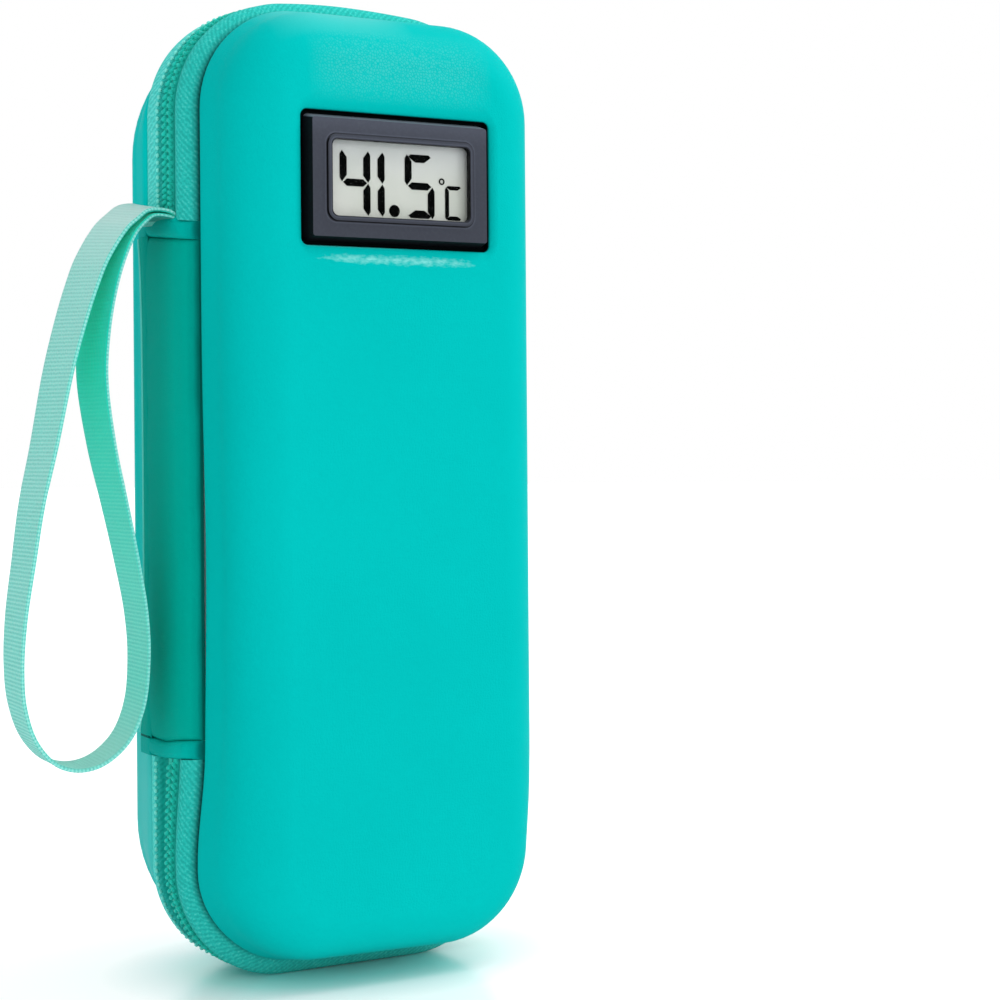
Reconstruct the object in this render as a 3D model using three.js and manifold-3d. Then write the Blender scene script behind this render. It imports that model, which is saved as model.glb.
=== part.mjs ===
// Insulin cooling case: two moulded foam halves joined by a padded spine and a coil zipper, with a
// snap-in thermometer in the lid, a wrist strap, and a cooling pack held in each half.
// Millimetres, +Z up. The case stands on the zipper belt. The lid faces -Y, the spine is at -X.
import * as THREE from 'three';
import { mergeVertices } from 'three/addons/utils/BufferGeometryUtils.js';
import Module from 'manifold-3d';

const wasm = await Module();
wasm.setup();

// Case: the outline is that of the zipper belt's crown, seen from the front
const caseWidth = 89;
const caseHeight = 226;
const cornerRadius = 27;
const footFlat = 0.5;
const frontDepth = 30.5;
const backDepth = 29;
const beltWidth = 23;
const frontRimInset = 3.1;
const backRimInset = 0.9;

// Moulded halves and their linings
const shellWall = 4;
const shellDraft = 1.2;
const frontEdgeRadius = 12;
const backEdgeRadius = 9.4;
const backCornerEase = 6;
const linerWall = 1.2;
const seatGap = 0.3;

// Zipper
const tapeThickness = 0.9;
const frontTapeBulge = 1.2;
const coilHeight = 1.4;
const coilHalfWidth = 2.8;
const toothPitch = 4;
const toothReach = 0.9;
const meshGap = 0.42;
const zipEndRun = 25.25;

// Spine that hinges the halves
const hemHeight = 4.2;
const spineCrownInset = 0.3;
const spineSkin = 0.7;
const spineLinerThickness = 0.8;
const hemPress = 0.5;
const spineDrawIn = 0.7;
const hingeStandOff = 0.3;

// Wrist strap
const strapWidth = 15;
const strapThickness = 1.2;
const strapCentreY = 3.5;
const strapTwistTop = -8;
const strapTwistBottom = 10;

// Thermometer
const displayDrop = 43;
const recessDepth = 2.4;
const recessMargin = 0.8;
const recessSlope = 2.2;
const bezelWidth = 48;
const bezelHeight = 28.6;
const bezelThickness = 3.2;
const bezelBevel = 1;
const bezelCorner = 0.6;
const bezelLipWidth = 1.6;
const bezelLipHeight = 0.5;
const windowWidth = 36.4;
const windowHeight = 17.2;
const windowCorner = 1.5;
const windowThickness = 1;
const windowLedge = 1.6;
const windowFront = 1;
const glassThickness = 1.6;
const sleeveWidth = 45.6;
const sleeveHeight = 26.2;
const sleeveWall = 1.5;
const sleeveDepth = 8;
const clipLength = 9;
const clipProud = 1.1;
const boardThickness = 1.2;
const connectorDepth = 2;
const connectorHeight = 2;
const cellDiameter = 11.6;
const cellThickness = 5.4;
const rearWall = 2.2;
const doorThickness = 1.2;
const doorLap = 1;
const glandRadius = 1.8;
const glandBore = 0.9;
const glandLength = 2.4;

// Sliders and pull tabs
const sliderLength = 11;
const sliderNoseWidth = 9.4;
const sliderTailWidth = 7.6;
const sliderPlate = 1.3;
const sliderFlange = 1;
const sliderGap = 0.4;
const bridgeWidth = 2;
const bridgeLength = 7;
const bridgeThickness = 1.2;
const bridgeOpening = 2.1;
const tabLength = 24;
const tabWidth = 7;
const tabThickness = 1.1;
const tabLean = 4.5;
const tabEye = 2.7;

// Cooling packs and their bands
const packLength = 120;
const packWidth = 44;
const packThickness = 14;
const packEdge = 4.5;
const packCorner = 21.5;
const packStand = 18;
const bandWidth = 25;
const bandThickness = 1.2;
const bandFoot = 3;

// Places that follow from the sizes above
const centreZ = caseHeight / 2 - footFlat;
const seamY = beltWidth / 2;
const displayHeight = caseHeight - footFlat - displayDrop;
const spineLength = caseHeight - 2 * (cornerRadius + zipEndRun);
const spineTop = centreZ + spineLength / 2;
const spineBottom = centreZ - spineLength / 2;
const halfWidth = caseWidth / 2;
const halfHeight = caseHeight / 2;
const cornerSteps = 4;
const edgeSteps = 5;

// Solids

function finish(color, roughness, metalness = 0) {
  return new THREE.MeshStandardMaterial({ color, roughness, metalness });
}

function piece(name, geometry, material) {
  const mesh = new THREE.Mesh(geometry, material);
  mesh.name = name;
  return mesh;
}

// Turn every face outwards, judged by the sign of the enclosed volume.
function facedOut(geometry) {
  const p = geometry.attributes.position;
  const index = geometry.index.array;
  const corner = (i) => new THREE.Vector3().fromBufferAttribute(p, index[i]);
  let volume = 0;
  for (let i = 0; i < index.length; i += 3) {
    volume += corner(i).dot(corner(i + 1).cross(corner(i + 2)));
  }
  if (volume < 0) {
    for (let i = 0; i < index.length; i += 3) {
      [index[i], index[i + 1]] = [index[i + 1], index[i]];
    }
  }
  return geometry;
}

// Skin between rings of equal count, closed by flat ends cut from the section's own outline.
function loft(rings, section) {
  const count = section.length;
  const index = [];
  for (let r = 0; r + 1 < rings.length; r++) {
    for (let i = 0; i < count; i++) {
      const a = r * count + i;
      const b = r * count + ((i + 1) % count);
      index.push(a, b, b + count, a, b + count, a + count);
    }
  }
  const last = (rings.length - 1) * count;
  const turn = Math.sign(THREE.ShapeUtils.area(section));
  for (const face of THREE.ShapeUtils.triangulateShape(section, [])) {
    const sign = Math.sign(THREE.ShapeUtils.area(face.map((i) => section[i])));
    const [a, b, c] = sign === turn ? face : [...face].reverse();
    index.push(c, b, a, last + a, last + b, last + c);
  }
  const geometry = new THREE.BufferGeometry().setFromPoints(rings.flat());
  geometry.setIndex(index);
  return facedOut(geometry);
}

function solid(geometry) {
  const bare = geometry.clone();
  bare.deleteAttribute('normal');
  bare.deleteAttribute('uv');
  const merged = mergeVertices(bare);
  const vertProperties = new Float32Array(merged.attributes.position.array);
  const triVerts = new Uint32Array(merged.index.array);
  return new wasm.Manifold(new wasm.Mesh({ numProp: 3, vertProperties, triVerts }));
}

function surface(body) {
  const mesh = body.getMesh();
  const geometry = new THREE.BufferGeometry();
  geometry.setAttribute('position', new THREE.BufferAttribute(mesh.vertProperties, 3));
  geometry.setIndex(new THREE.BufferAttribute(mesh.triVerts, 1));
  geometry.computeVertexNormals();
  return geometry;
}

function cut(geometry, ...tools) {
  return surface(tools.reduce((body, tool) => body.subtract(solid(tool)), solid(geometry)));
}

function join(geometry, ...others) {
  return surface(others.reduce((body, other) => body.add(solid(other)), solid(geometry)));
}

// Outlines

function roundedRect(width, height, radius) {
  const x = width / 2 - radius;
  const y = height / 2 - radius;
  const shape = new THREE.Shape();
  shape.absarc(x, y, radius, 0, Math.PI / 2);
  shape.absarc(-x, y, radius, Math.PI / 2, Math.PI);
  shape.absarc(-x, -y, radius, Math.PI, 1.5 * Math.PI);
  shape.absarc(x, -y, radius, 1.5 * Math.PI, 2 * Math.PI);
  return shape;
}

// The points of a closed outline, without the repeated last one.
function ringOf(shape, steps = cornerSteps) {
  const points = shape.getPoints(steps);
  return points[0].distanceTo(points.at(-1)) < 1e-6 ? points.slice(0, -1) : points;
}

// The case's outline, drawn in by an inset, its corners eased by a larger radius where asked.
function caseOutline(inset, ease = 0) {
  return ringOf(roundedRect(caseWidth - 2 * inset, caseHeight - 2 * inset, cornerRadius - inset + ease));
}

// A flat plate that faces the front, from one depth to another.
function plate(shape, front, back) {
  const geometry = new THREE.ExtrudeGeometry(shape, {
    depth: back - front,
    bevelEnabled: false,
    curveSegments: cornerSteps,
  });
  return geometry.rotateX(Math.PI / 2).translate(0, back, 0);
}

// A frustum between two rounded rectangles that face the front.
function taper(frontSize, backSize, front, back) {
  const at = ([width, height, radius], y) =>
    ringOf(roundedRect(width, height, radius)).map((p) => new THREE.Vector3(p.x, y, p.y));
  return loft([at(frontSize, front), at(backSize, back)], ringOf(roundedRect(...frontSize)));
}

// Moulded halves: the wall leans in from the seam, then rolls over into the flat face.
const frontHalf = { side: -1, rim: frontRimInset, depth: frontDepth, edge: frontEdgeRadius, ease: 0 };
const backHalf = { side: 1, rim: backRimInset, depth: backDepth, edge: backEdgeRadius, ease: backCornerEase };

// A half's outside, drawn in all round by an inset. A collar carries it on past the seam.
function tub({ side, rim, depth, edge, ease }, inset, collar = 0) {
  const rings = [];
  const ring = (ringInset, y, eased) =>
    rings.push(caseOutline(ringInset, eased).map((p) => new THREE.Vector3(p.x, side * y, p.y + centreZ)));
  const radius = edge - inset;
  if (collar > 0) {
    ring(rim + inset, seamY - collar, 0);
  }
  ring(rim + inset, seamY, 0);
  for (let i = 0; i <= edgeSteps; i++) {
    const angle = ((i / edgeSteps) * Math.PI) / 2;
    ring(
      rim + inset + shellDraft + radius * (1 - Math.cos(angle)),
      depth - inset - radius * (1 - Math.sin(angle)),
      ease,
    );
  }
  return loft(rings, caseOutline(rim + inset));
}

// A tub hollowed to a wall, open at the seam. Skip is how far its outside lies within the half's own.
function hollowTub(half, skip, wall) {
  const overrun = 1;
  return cut(tub(half, skip), tub(half, skip + wall, overrun));
}

const linerSkip = shellWall + seatGap;
const bezelFrontY = -(frontDepth - recessDepth + seatGap + bezelThickness);

function displayCutters() {
  const floorY = -(frontDepth - recessDepth);
  const floor = [bezelWidth + 2 * recessMargin, bezelHeight + 2 * recessMargin, bezelCorner];
  const mouth = [floor[0] + 2 * recessSlope, floor[1] + 2 * recessSlope, bezelCorner + recessSlope];
  const recess = taper(mouth, floor, -frontDepth - seatGap, floorY);
  const hole = roundedRect(sleeveWidth + 2 * seatGap, sleeveHeight + 2 * seatGap, bezelCorner);
  const through = plate(hole, bezelFrontY, -seamY);
  return { recess: recess.translate(0, 0, displayHeight), through: through.translate(0, 0, displayHeight) };
}

const skin = finish(0x00bdb6, 0.5);
const foil = finish(0xb9c0c2, 0.35, 0.6);
const display = displayCutters();
const frontShell = piece(
  'front_shell',
  cut(hollowTub(frontHalf, 0, shellWall), display.recess, display.through),
  skin,
);
const backShell = piece('back_shell', hollowTub(backHalf, 0, shellWall), skin);
const frontLiner = piece(
  'front_liner',
  cut(hollowTub(frontHalf, linerSkip, linerWall), display.through),
  foil,
);
const backLiner = piece('back_liner', hollowTub(backHalf, linerSkip, linerWall), foil);

// Zipper belt. A place along it is a distance from the spine's top end, up the left side, over the
// top, down the right side and back along the bottom to the spine's bottom end.

const straightTop = caseWidth - 2 * cornerRadius;
const straightSide = caseHeight - 2 * cornerRadius;
const cornerLength = (cornerRadius * Math.PI) / 2;
const leftPart = zipEndRun - seatGap;
const beltRuns = [
  { length: leftPart, from: [-halfWidth, spineTop + seatGap], heading: 90 },
  { length: cornerLength, centre: [-halfWidth + cornerRadius, centreZ + straightSide / 2], heading: 90 },
  { length: straightTop, from: [-straightTop / 2, centreZ + halfHeight], heading: 0 },
  { length: cornerLength, centre: [straightTop / 2, centreZ + straightSide / 2], heading: 0 },
  { length: straightSide, from: [halfWidth, centreZ + straightSide / 2], heading: -90 },
  { length: cornerLength, centre: [straightTop / 2, centreZ - straightSide / 2], heading: -90 },
  { length: straightTop, from: [straightTop / 2, centreZ - halfHeight], heading: -180 },
  { length: cornerLength, centre: [-straightTop / 2, centreZ - straightSide / 2], heading: -180 },
  { length: leftPart, from: [-halfWidth, centreZ - straightSide / 2], heading: -270 },
];
const beltLength = beltRuns.reduce((sum, run) => sum + run.length, 0);
const footMiddle = beltRuns.slice(0, 6).reduce((sum, run) => sum + run.length, 0) + straightTop / 2;

// A point of the belt: its distance along, its depth y, and how far it lies under the crown line.
function beltPoint(distance, y, inset) {
  let left = distance;
  let run = beltRuns[0];
  for (run of beltRuns) {
    if (left <= run.length) {
      break;
    }
    left -= run.length;
  }
  const turned = run.centre ? left / cornerRadius : 0;
  const heading = THREE.MathUtils.degToRad(run.heading) - turned;
  const outX = -Math.sin(heading);
  const outZ = Math.cos(heading);
  if (run.centre) {
    const reach = cornerRadius - inset;
    return new THREE.Vector3(run.centre[0] + reach * outX, y, run.centre[1] + reach * outZ);
  }
  const x = run.from[0] + left * Math.cos(heading) - inset * outX;
  const z = run.from[1] + left * Math.sin(heading) - inset * outZ;
  return new THREE.Vector3(x, y, z);
}

// A strip along the belt, its section worked out at each distance.
function beltStrip(distances, sectionAt) {
  const rings = distances.map((d) => sectionAt(d).map((p) => beltPoint(d, p.x, p.y)));
  return loft(rings, sectionAt(distances[0]));
}

function tapeStations() {
  const stations = [0];
  let start = 0;
  for (const run of beltRuns) {
    const steps = run.centre ? 2 * cornerSteps : 1;
    for (let i = 1; i <= steps; i++) {
      stations.push(start + (run.length * i) / steps);
    }
    start += run.length;
  }
  return stations;
}

// The coil sits on the tape near its inner edge, and from there the tape runs to the shell's rim. The
// front tape stands up beside the coil as a plump welt.
const tapeSeat = coilHeight + seatGap;
const tapeEdge = meshGap / 2;
const tapeFlat = coilHalfWidth + seatGap;

function tapeSection(side, rimInset, bulge) {
  const spanSteps = 3;
  const outer = [new THREE.Vector2(side * tapeEdge, tapeSeat)];
  for (let i = 0; i <= spanSteps; i++) {
    const t = i / spanSteps;
    const y = tapeFlat + (seamY - seatGap - tapeFlat) * t;
    const inset = tapeSeat + (rimInset - tapeSeat) * t * t - 4 * bulge * t * (1 - t);
    outer.push(new THREE.Vector2(side * y, inset));
  }
  const inner = outer.map((p) => new THREE.Vector2(p.x, p.y + tapeThickness)).reverse();
  return [...outer, ...inner];
}

function zipTape(side, rimInset, bulge) {
  return beltStrip(tapeStations(), () => tapeSection(side, rimInset, bulge));
}

// Half of the coil: a rail whose inner edge runs in and out in step with the other half's teeth.
// Counted from the middle of the foot, even stations carry a tooth of the back half.
function zipCoil(side) {
  const half = toothPitch / 2;
  const first = -Math.floor(footMiddle / half);
  const last = Math.floor((beltLength - footMiddle) / half);
  const stations = [];
  for (let k = first; k <= last; k++) {
    stations.push(k);
  }
  const sectionAt = (distance) => {
    const k = Math.round((distance - footMiddle) / half);
    const boundary = k % 2 === 0 ? -toothReach : toothReach;
    const edge = boundary + (side * meshGap) / 2;
    const rail = side * coilHalfWidth;
    return [
      new THREE.Vector2(rail, coilHeight),
      new THREE.Vector2(rail, 0),
      new THREE.Vector2(edge, 0),
      new THREE.Vector2(edge, coilHeight),
    ];
  };
  const strip = beltStrip(stations.map((k) => footMiddle + k * half), sectionAt);
  const ground = new THREE.BoxGeometry(caseWidth, beltWidth, 2 * cornerRadius);
  return cut(strip, ground.translate(0, 0, -cornerRadius));
}

const tapeFinish = finish(0x35b8ae, 0.85);
const coilFinish = finish(0x2fb3a8, 0.5);
const frontTape = piece('front_zip_tape', zipTape(-1, frontRimInset, frontTapeBulge), tapeFinish);
const backTape = piece('back_zip_tape', zipTape(1, backRimInset, 0), tapeFinish);
const frontCoil = piece('front_zip_coil', zipCoil(-1), coilFinish);
const backCoil = piece('back_zip_coil', zipCoil(1), coilFinish);

// Spine: an arched pad between the two seams, pressed flatter at its hems, with a lining behind it.

const spineHalf = seamY - seatGap;
const spineFloor = frontRimInset + spineSkin;

function spineSection(press) {
  const steps = 12;
  const outer = [];
  for (let i = 0; i <= steps; i++) {
    const y = -spineHalf + (2 * spineHalf * i) / steps;
    const edge = y < 0 ? frontRimInset : backRimInset;
    const share = Math.abs(y / spineHalf) ** 2.2;
    const crown = spineCrownInset + press;
    outer.push(new THREE.Vector2(y, Math.max(crown + (edge - crown) * share, spineCrownInset)));
  }
  return [...outer, new THREE.Vector2(spineHalf, spineFloor), new THREE.Vector2(-spineHalf, spineFloor)];
}

function spineLoft(levels) {
  const rings = levels.map(({ z, press }) =>
    spineSection(press).map((p) => new THREE.Vector3(-halfWidth + p.y, p.x, z)),
  );
  return loft(rings, spineSection(levels[0].press));
}

function spinePanel() {
  const low = spineBottom + hemHeight + seatGap;
  const high = spineTop - hemHeight - seatGap;
  const drawLength = 7;
  const levels = [];
  for (const t of [0, 0.3, 1]) {
    levels.push({ z: low + drawLength * t, press: spineDrawIn * (1 - t) ** 2 });
  }
  for (const t of [1, 0.3, 0]) {
    levels.push({ z: high - drawLength * t, press: spineDrawIn * (1 - t) ** 2 });
  }
  return spineLoft(levels);
}

function hem(low) {
  const roll = 0.6;
  return spineLoft([
    { z: low, press: hemPress + roll },
    { z: low + roll, press: hemPress },
    { z: low + hemHeight - roll, press: hemPress },
    { z: low + hemHeight, press: hemPress + roll },
  ]);
}

function spineLinerStrip() {
  const box = new THREE.BoxGeometry(spineLinerThickness, 2 * spineHalf, spineLength);
  const x = -halfWidth + spineFloor + seatGap + spineLinerThickness / 2;
  return box.translate(x, 0, centreZ);
}

const leather = finish(0x00a297, 0.5);
const spineParts = [
  piece('spine_panel', spinePanel(), leather),
  piece('spine_hem_top', hem(spineTop - hemHeight), leather),
  piece('spine_hem_bottom', hem(spineBottom), leather),
  piece('spine_liner', spineLinerStrip(), foil),
];

// Wrist strap: woven tape from the sewn root over a small arch, down, round and back to the root.
// The route's points are [out from the root, down from the root] in millimetres.

const strapRootRadius = strapThickness + seatGap / 2;
const strapRoot = new THREE.Vector3(
  -halfWidth - hingeStandOff - strapRootRadius,
  strapCentreY,
  spineTop + seatGap + strapRootRadius,
);
const strapOuterPly = [
  [3.2, -0.6], [7, 1.8], [13.1, 9], [18.8, 21.9], [22.6, 34.6], [26.5, 52.5], [29.4, 65], [31.4, 77.6],
  [33.3, 90.4], [33.9, 101], [33.2, 109.5], [30.5, 117.2], [25.8, 122.4], [20.3, 124.2], [14.5, 123.2],
];
const strapInnerPly = [
  [8.5, 118.6], [5, 111.2], [3.8, 100.3], [4.4, 90.2], [6.6, 78.3], [9.5, 65.2], [12.5, 52.4], [15, 37],
  [14.6, 24.6], [10.9, 11.4], [6, 3.4],
];

function wristStrap() {
  const start = [0, -strapThickness / 2 - seatGap / 4];
  const end = [0, strapThickness / 2 + seatGap / 4];
  const route = [start, ...strapOuterPly, ...strapInnerPly, end];
  const curve = new THREE.CatmullRomCurve3(
    route.map(([out, down]) => new THREE.Vector3(strapRoot.x - out, 0, strapRoot.z - down)),
    false,
    'centripetal',
  );
  const steps = 64;
  const drop = strapOuterPly.reduce((most, p) => Math.max(most, p[1]), 0);
  const rings = [];
  for (let i = 0; i <= steps; i++) {
    const at = curve.getPointAt(i / steps);
    const along = curve.getTangentAt(i / steps);
    const share = THREE.MathUtils.clamp((strapRoot.z - at.z) / drop, 0, 1);
    const outside = THREE.MathUtils.clamp((strapRoot.x - at.x) / strapWidth - 1, 0, 1);
    const twist = THREE.MathUtils.lerp(strapTwistTop, strapTwistBottom, share) * outside;
    const angle = THREE.MathUtils.degToRad(twist);
    const across = new THREE.Vector3(Math.sin(angle), Math.cos(angle), 0);
    const thick = new THREE.Vector3().crossVectors(along, across).normalize();
    const corner = (w, t) =>
      at
        .clone()
        .setY(strapCentreY)
        .addScaledVector(across, (w * strapWidth) / 2)
        .addScaledVector(thick, (t * strapThickness) / 2);
    rings.push([corner(-1, -1), corner(1, -1), corner(1, 1), corner(-1, 1)]);
  }
  const section = [[-1, -1], [1, -1], [1, 1], [-1, 1]].map(([x, y]) => new THREE.Vector2(x, y));
  const rootSides = 12;
  const root = new THREE.CylinderGeometry(strapRootRadius, strapRootRadius, strapWidth, rootSides);
  return join(loft(rings, section), root.translate(strapRoot.x, strapRoot.y, strapRoot.z));
}

const wristStrapMesh = piece('wrist_strap', wristStrap(), finish(0x7fd7cb, 0.85));

// Thermometer, about the middle of its bezel's front, depth counted inwards.

const windowPocket = [windowWidth + 2 * windowLedge, windowHeight + 2 * windowLedge];
const glassFront = windowFront + windowThickness + seatGap;
const glassBack = glassFront + glassThickness;
const boardFront = glassBack + seatGap + connectorDepth + seatGap;
const boardBack = boardFront + boardThickness;
const sleeveBack = bezelThickness + sleeveDepth;
const rearBack = boardBack + 2 * seatGap + cellThickness + doorThickness;
const sleeveInner = [sleeveWidth - 2 * sleeveWall, sleeveHeight - 2 * sleeveWall];
const linerBack = shellWall - recessDepth + seatGap + linerWall;
const glandX = cellDiameter + doorLap + 2 * glandRadius + 2 * seatGap;

function bezel() {
  const face = [bezelWidth - 2 * bezelBevel, bezelHeight - 2 * bezelBevel, bezelCorner];
  const flange = taper(face, [bezelWidth, bezelHeight, bezelCorner + bezelBevel], 0, bezelThickness);
  const lipSize = [
    windowWidth + 2 * bezelLipWidth,
    windowHeight + 2 * bezelLipWidth,
    windowCorner + bezelLipWidth,
  ];
  const lipTop = lipSize.map((size, i) => size - (i < 2 ? 2 * bezelLipHeight : bezelLipHeight));
  const lip = taper(lipTop, lipSize, -bezelLipHeight, bezelThickness / 2);
  const sleeve = plate(roundedRect(sleeveWidth, sleeveHeight, bezelCorner), bezelThickness / 2, sleeveBack);
  const overrun = 1;
  const opening = plate(
    roundedRect(windowWidth, windowHeight, windowCorner),
    -bezelLipHeight - overrun,
    bezelThickness,
  );
  const pocket = plate(
    roundedRect(windowPocket[0] + 2 * seatGap, windowPocket[1] + 2 * seatGap, windowCorner),
    windowFront,
    glassBack,
  );
  const bore = plate(roundedRect(...sleeveInner, windowCorner), glassBack - seatGap, sleeveBack + overrun);
  return cut(join(flange, lip, sleeve, clip(-1), clip(1)), opening, pocket, bore);
}

// A wedge on the sleeve that snaps behind the lining.
function clip(side) {
  const near = bezelThickness + seatGap + linerBack + seatGap;
  const root = side * (sleeveWidth / 2 - seatGap);
  const tip = side * (sleeveWidth / 2 + clipProud);
  const wedge = new THREE.Shape();
  wedge.moveTo(root, near);
  wedge.lineTo(tip, near);
  wedge.lineTo(tip, near + clipProud);
  wedge.lineTo(root, sleeveBack - seatGap);
  const geometry = new THREE.ExtrudeGeometry(wedge, { depth: clipLength, bevelEnabled: false });
  return geometry.translate(0, 0, -clipLength / 2);
}

function cellOutline(grow) {
  const length = 2 * cellDiameter + seatGap + 2 * grow;
  return roundedRect(length, cellDiameter + 2 * grow, cellDiameter / 2 + grow);
}

function rearCase() {
  const front = sleeveBack + seatGap;
  const overrun = 1;
  const cap = plate(roundedRect(sleeveWidth, sleeveHeight, bezelCorner), front, rearBack);
  const hollow = plate(roundedRect(...sleeveInner, windowCorner), front - overrun, rearBack - rearWall);
  const bay = plate(cellOutline(seatGap), front - overrun, rearBack + overrun);
  const seat = plate(cellOutline(doorLap + seatGap), rearBack - doorThickness, rearBack + overrun);
  const glandHole = glandRadius + seatGap;
  const hole = new THREE.CylinderGeometry(glandHole, glandHole, 4 * rearWall, 12);
  return cut(cap, hollow, bay, seat, hole.translate(glandX, rearBack, 0));
}

function gland() {
  const outer = new THREE.CylinderGeometry(glandRadius, glandRadius, glandLength, 12);
  const bore = new THREE.CylinderGeometry(glandBore, glandBore, 2 * glandLength, 8);
  return cut(outer, bore).translate(glandX, rearBack - rearWall + glandLength / 2, 0);
}

function cell(side) {
  const disc = new THREE.CylinderGeometry(cellDiameter / 2, cellDiameter / 2, cellThickness, 24);
  const middle = boardBack + seatGap + cellThickness / 2;
  return disc.translate((side * (cellDiameter + seatGap)) / 2, middle, 0);
}

function displayModule() {
  const group = new THREE.Group();
  group.position.set(0, bezelFrontY, displayHeight);
  const black = finish(0x33353d, 0.45);
  const darkInside = finish(0x1b1c20, 0.6);
  const steel = finish(0xb8babd, 0.3, 1);
  const glass = finish(0xaab2ad, 0.15);
  const window = roundedRect(...windowPocket, windowCorner);
  const door = plate(cellOutline(doorLap), rearBack - doorThickness + seatGap, rearBack + seatGap);
  const board = roundedRect(sleeveInner[0] - 2 * seatGap, sleeveInner[1] - 2 * seatGap, windowCorner);
  const connector = new THREE.BoxGeometry(windowWidth, connectorDepth, connectorHeight);
  connector.translate(0, (glassBack + boardFront) / 2, windowHeight / 2);
  group.add(
    piece('display_bezel', bezel(), black),
    piece('display_window', plate(window, windowFront + seatGap / 2, glassFront - seatGap / 2), glass),
    piece('lcd_panel', plate(window, glassFront, glassBack - seatGap), glass),
    piece('display_connector', connector, darkInside),
    piece('display_board', plate(board, boardFront, boardBack), finish(0x1f6b3a, 0.5)),
    piece('battery_cell_left', cell(-1), steel),
    piece('battery_cell_right', cell(1), steel),
    piece('display_rear_case', rearCase(), black),
    piece('battery_door', door, black),
    piece('probe_gland', gland(), darkInside),
  );
  return group;
}

// Sliders on the right side. Local +X points out of the case, +Z towards the nose that the other meets.

function sliderBody(flangeSide) {
  const outline = new THREE.Shape();
  const nose = sliderNoseWidth / 2;
  const tail = sliderTailWidth / 2;
  const half = sliderLength / 2;
  const round = 2;
  outline.moveTo(-nose, half);
  outline.lineTo(-nose, half - round);
  outline.bezierCurveTo(-nose, 0, -tail, half / 2 - round, -tail, -half + round);
  outline.quadraticCurveTo(-tail, -half, -tail + round, -half);
  outline.lineTo(tail - round, -half);
  outline.quadraticCurveTo(tail, -half, tail, -half + round);
  outline.bezierCurveTo(tail, half / 2 - round, nose, 0, nose, half - round);
  outline.lineTo(nose, half);
  const top = flatOut(outline, seatGap, seatGap + sliderPlate);
  const flangeY = coilHalfWidth + seatGap;
  const flange = new THREE.BoxGeometry(tapeSeat, sliderFlange, sliderLength - 2 * round);
  flange.translate(seatGap * 2 - tapeSeat / 2, flangeSide * (flangeY + sliderFlange / 2), 0);
  return join(top, flange, bridge());
}

// A plate that faces out of the right side: the outline's first axis is Y, its second is Z.
function flatOut(shape, low, high) {
  const geometry = new THREE.ExtrudeGeometry(shape, {
    depth: high - low,
    bevelEnabled: false,
    curveSegments: cornerSteps,
  });
  return geometry.rotateX(Math.PI / 2).rotateZ(Math.PI / 2).translate(low, 0, 0);
}

const plateTop = seatGap + sliderPlate;
const bridgeTop = plateTop + bridgeOpening + bridgeThickness;
const barRadius = tabThickness / 2;
const barRoom = barRadius * Math.SQRT2 + seatGap / 2;
const barX = bridgeTop - bridgeThickness - barRoom;
const barZ = -(bridgeLength / 2 - bridgeThickness - barRoom);

// The arch that the pull tab's eye hooks round, drawn along the slider and pulled across it.
function bridge() {
  const half = bridgeLength / 2;
  const arch = new THREE.Shape();
  const sink = sliderPlate / 2;
  arch.moveTo(-half, plateTop - sink);
  arch.lineTo(-half, bridgeTop - bridgeThickness);
  arch.quadraticCurveTo(-half, bridgeTop, -half + bridgeThickness, bridgeTop);
  arch.lineTo(half - bridgeThickness, bridgeTop);
  arch.quadraticCurveTo(half, bridgeTop, half, bridgeTop - bridgeThickness);
  arch.lineTo(half, plateTop - sink);
  const eye = new THREE.Path();
  const inner = half - bridgeThickness;
  eye.moveTo(-inner, plateTop);
  eye.lineTo(inner, plateTop);
  eye.lineTo(inner, plateTop + bridgeOpening);
  eye.lineTo(-inner, plateTop + bridgeOpening);
  arch.holes.push(eye);
  const geometry = new THREE.ExtrudeGeometry(arch, {
    depth: bridgeWidth,
    bevelEnabled: false,
    curveSegments: cornerSteps,
  });
  return geometry.rotateZ(-Math.PI / 2).rotateX(-Math.PI / 2).translate(0, -bridgeWidth / 2, 0);
}

// Pull tab about its bar, hanging towards -Z.
function pullTab() {
  const half = tabWidth / 2;
  const neck = bridgeWidth / 2 + seatGap + 2 * barRadius;
  const outline = new THREE.Shape();
  const taperEnd = 2 * tabEye + tabThickness;
  outline.moveTo(neck, barRadius);
  outline.lineTo(-neck, barRadius);
  outline.lineTo(-neck, -tabEye);
  outline.quadraticCurveTo(-half, -tabEye - barRadius, -half, -taperEnd);
  outline.lineTo(-half, -tabLength + half);
  outline.absarc(0, -tabLength + half, half, Math.PI, 2 * Math.PI);
  outline.lineTo(half, -taperEnd);
  outline.quadraticCurveTo(half, -tabEye - barRadius, neck, -tabEye);
  const eye = new THREE.Path();
  const side = bridgeWidth / 2 + seatGap;
  eye.moveTo(-side, -barRadius);
  eye.lineTo(side, -barRadius);
  eye.lineTo(side, -barRadius - tabEye);
  eye.lineTo(-side, -barRadius - tabEye);
  outline.holes.push(eye);
  return flatOut(outline, -tabThickness / 2, tabThickness / 2);
}

const zinc = finish(0x2aa79d, 0.4, 0.3);

// Side is 1 for the upper slider, which is turned over and has its tab folded up against the belt.
function sliderGroup(side, name, tabName) {
  const group = new THREE.Group();
  group.position.set(halfWidth, 0, centreZ + (side * (sliderLength + sliderGap)) / 2);
  group.rotation.x = side > 0 ? Math.PI : 0;
  const tab = piece(tabName, pullTab(), zinc);
  tab.position.set(barX, 0, barZ);
  tab.rotation.y = side > 0 ? THREE.MathUtils.degToRad(tabLean) : 0;
  group.add(piece(name, sliderBody(-side), zinc), tab);
  return group;
}

// Cooling packs: a long stadium with crowned faces, held to the lining's floor by an elastic band.

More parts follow.
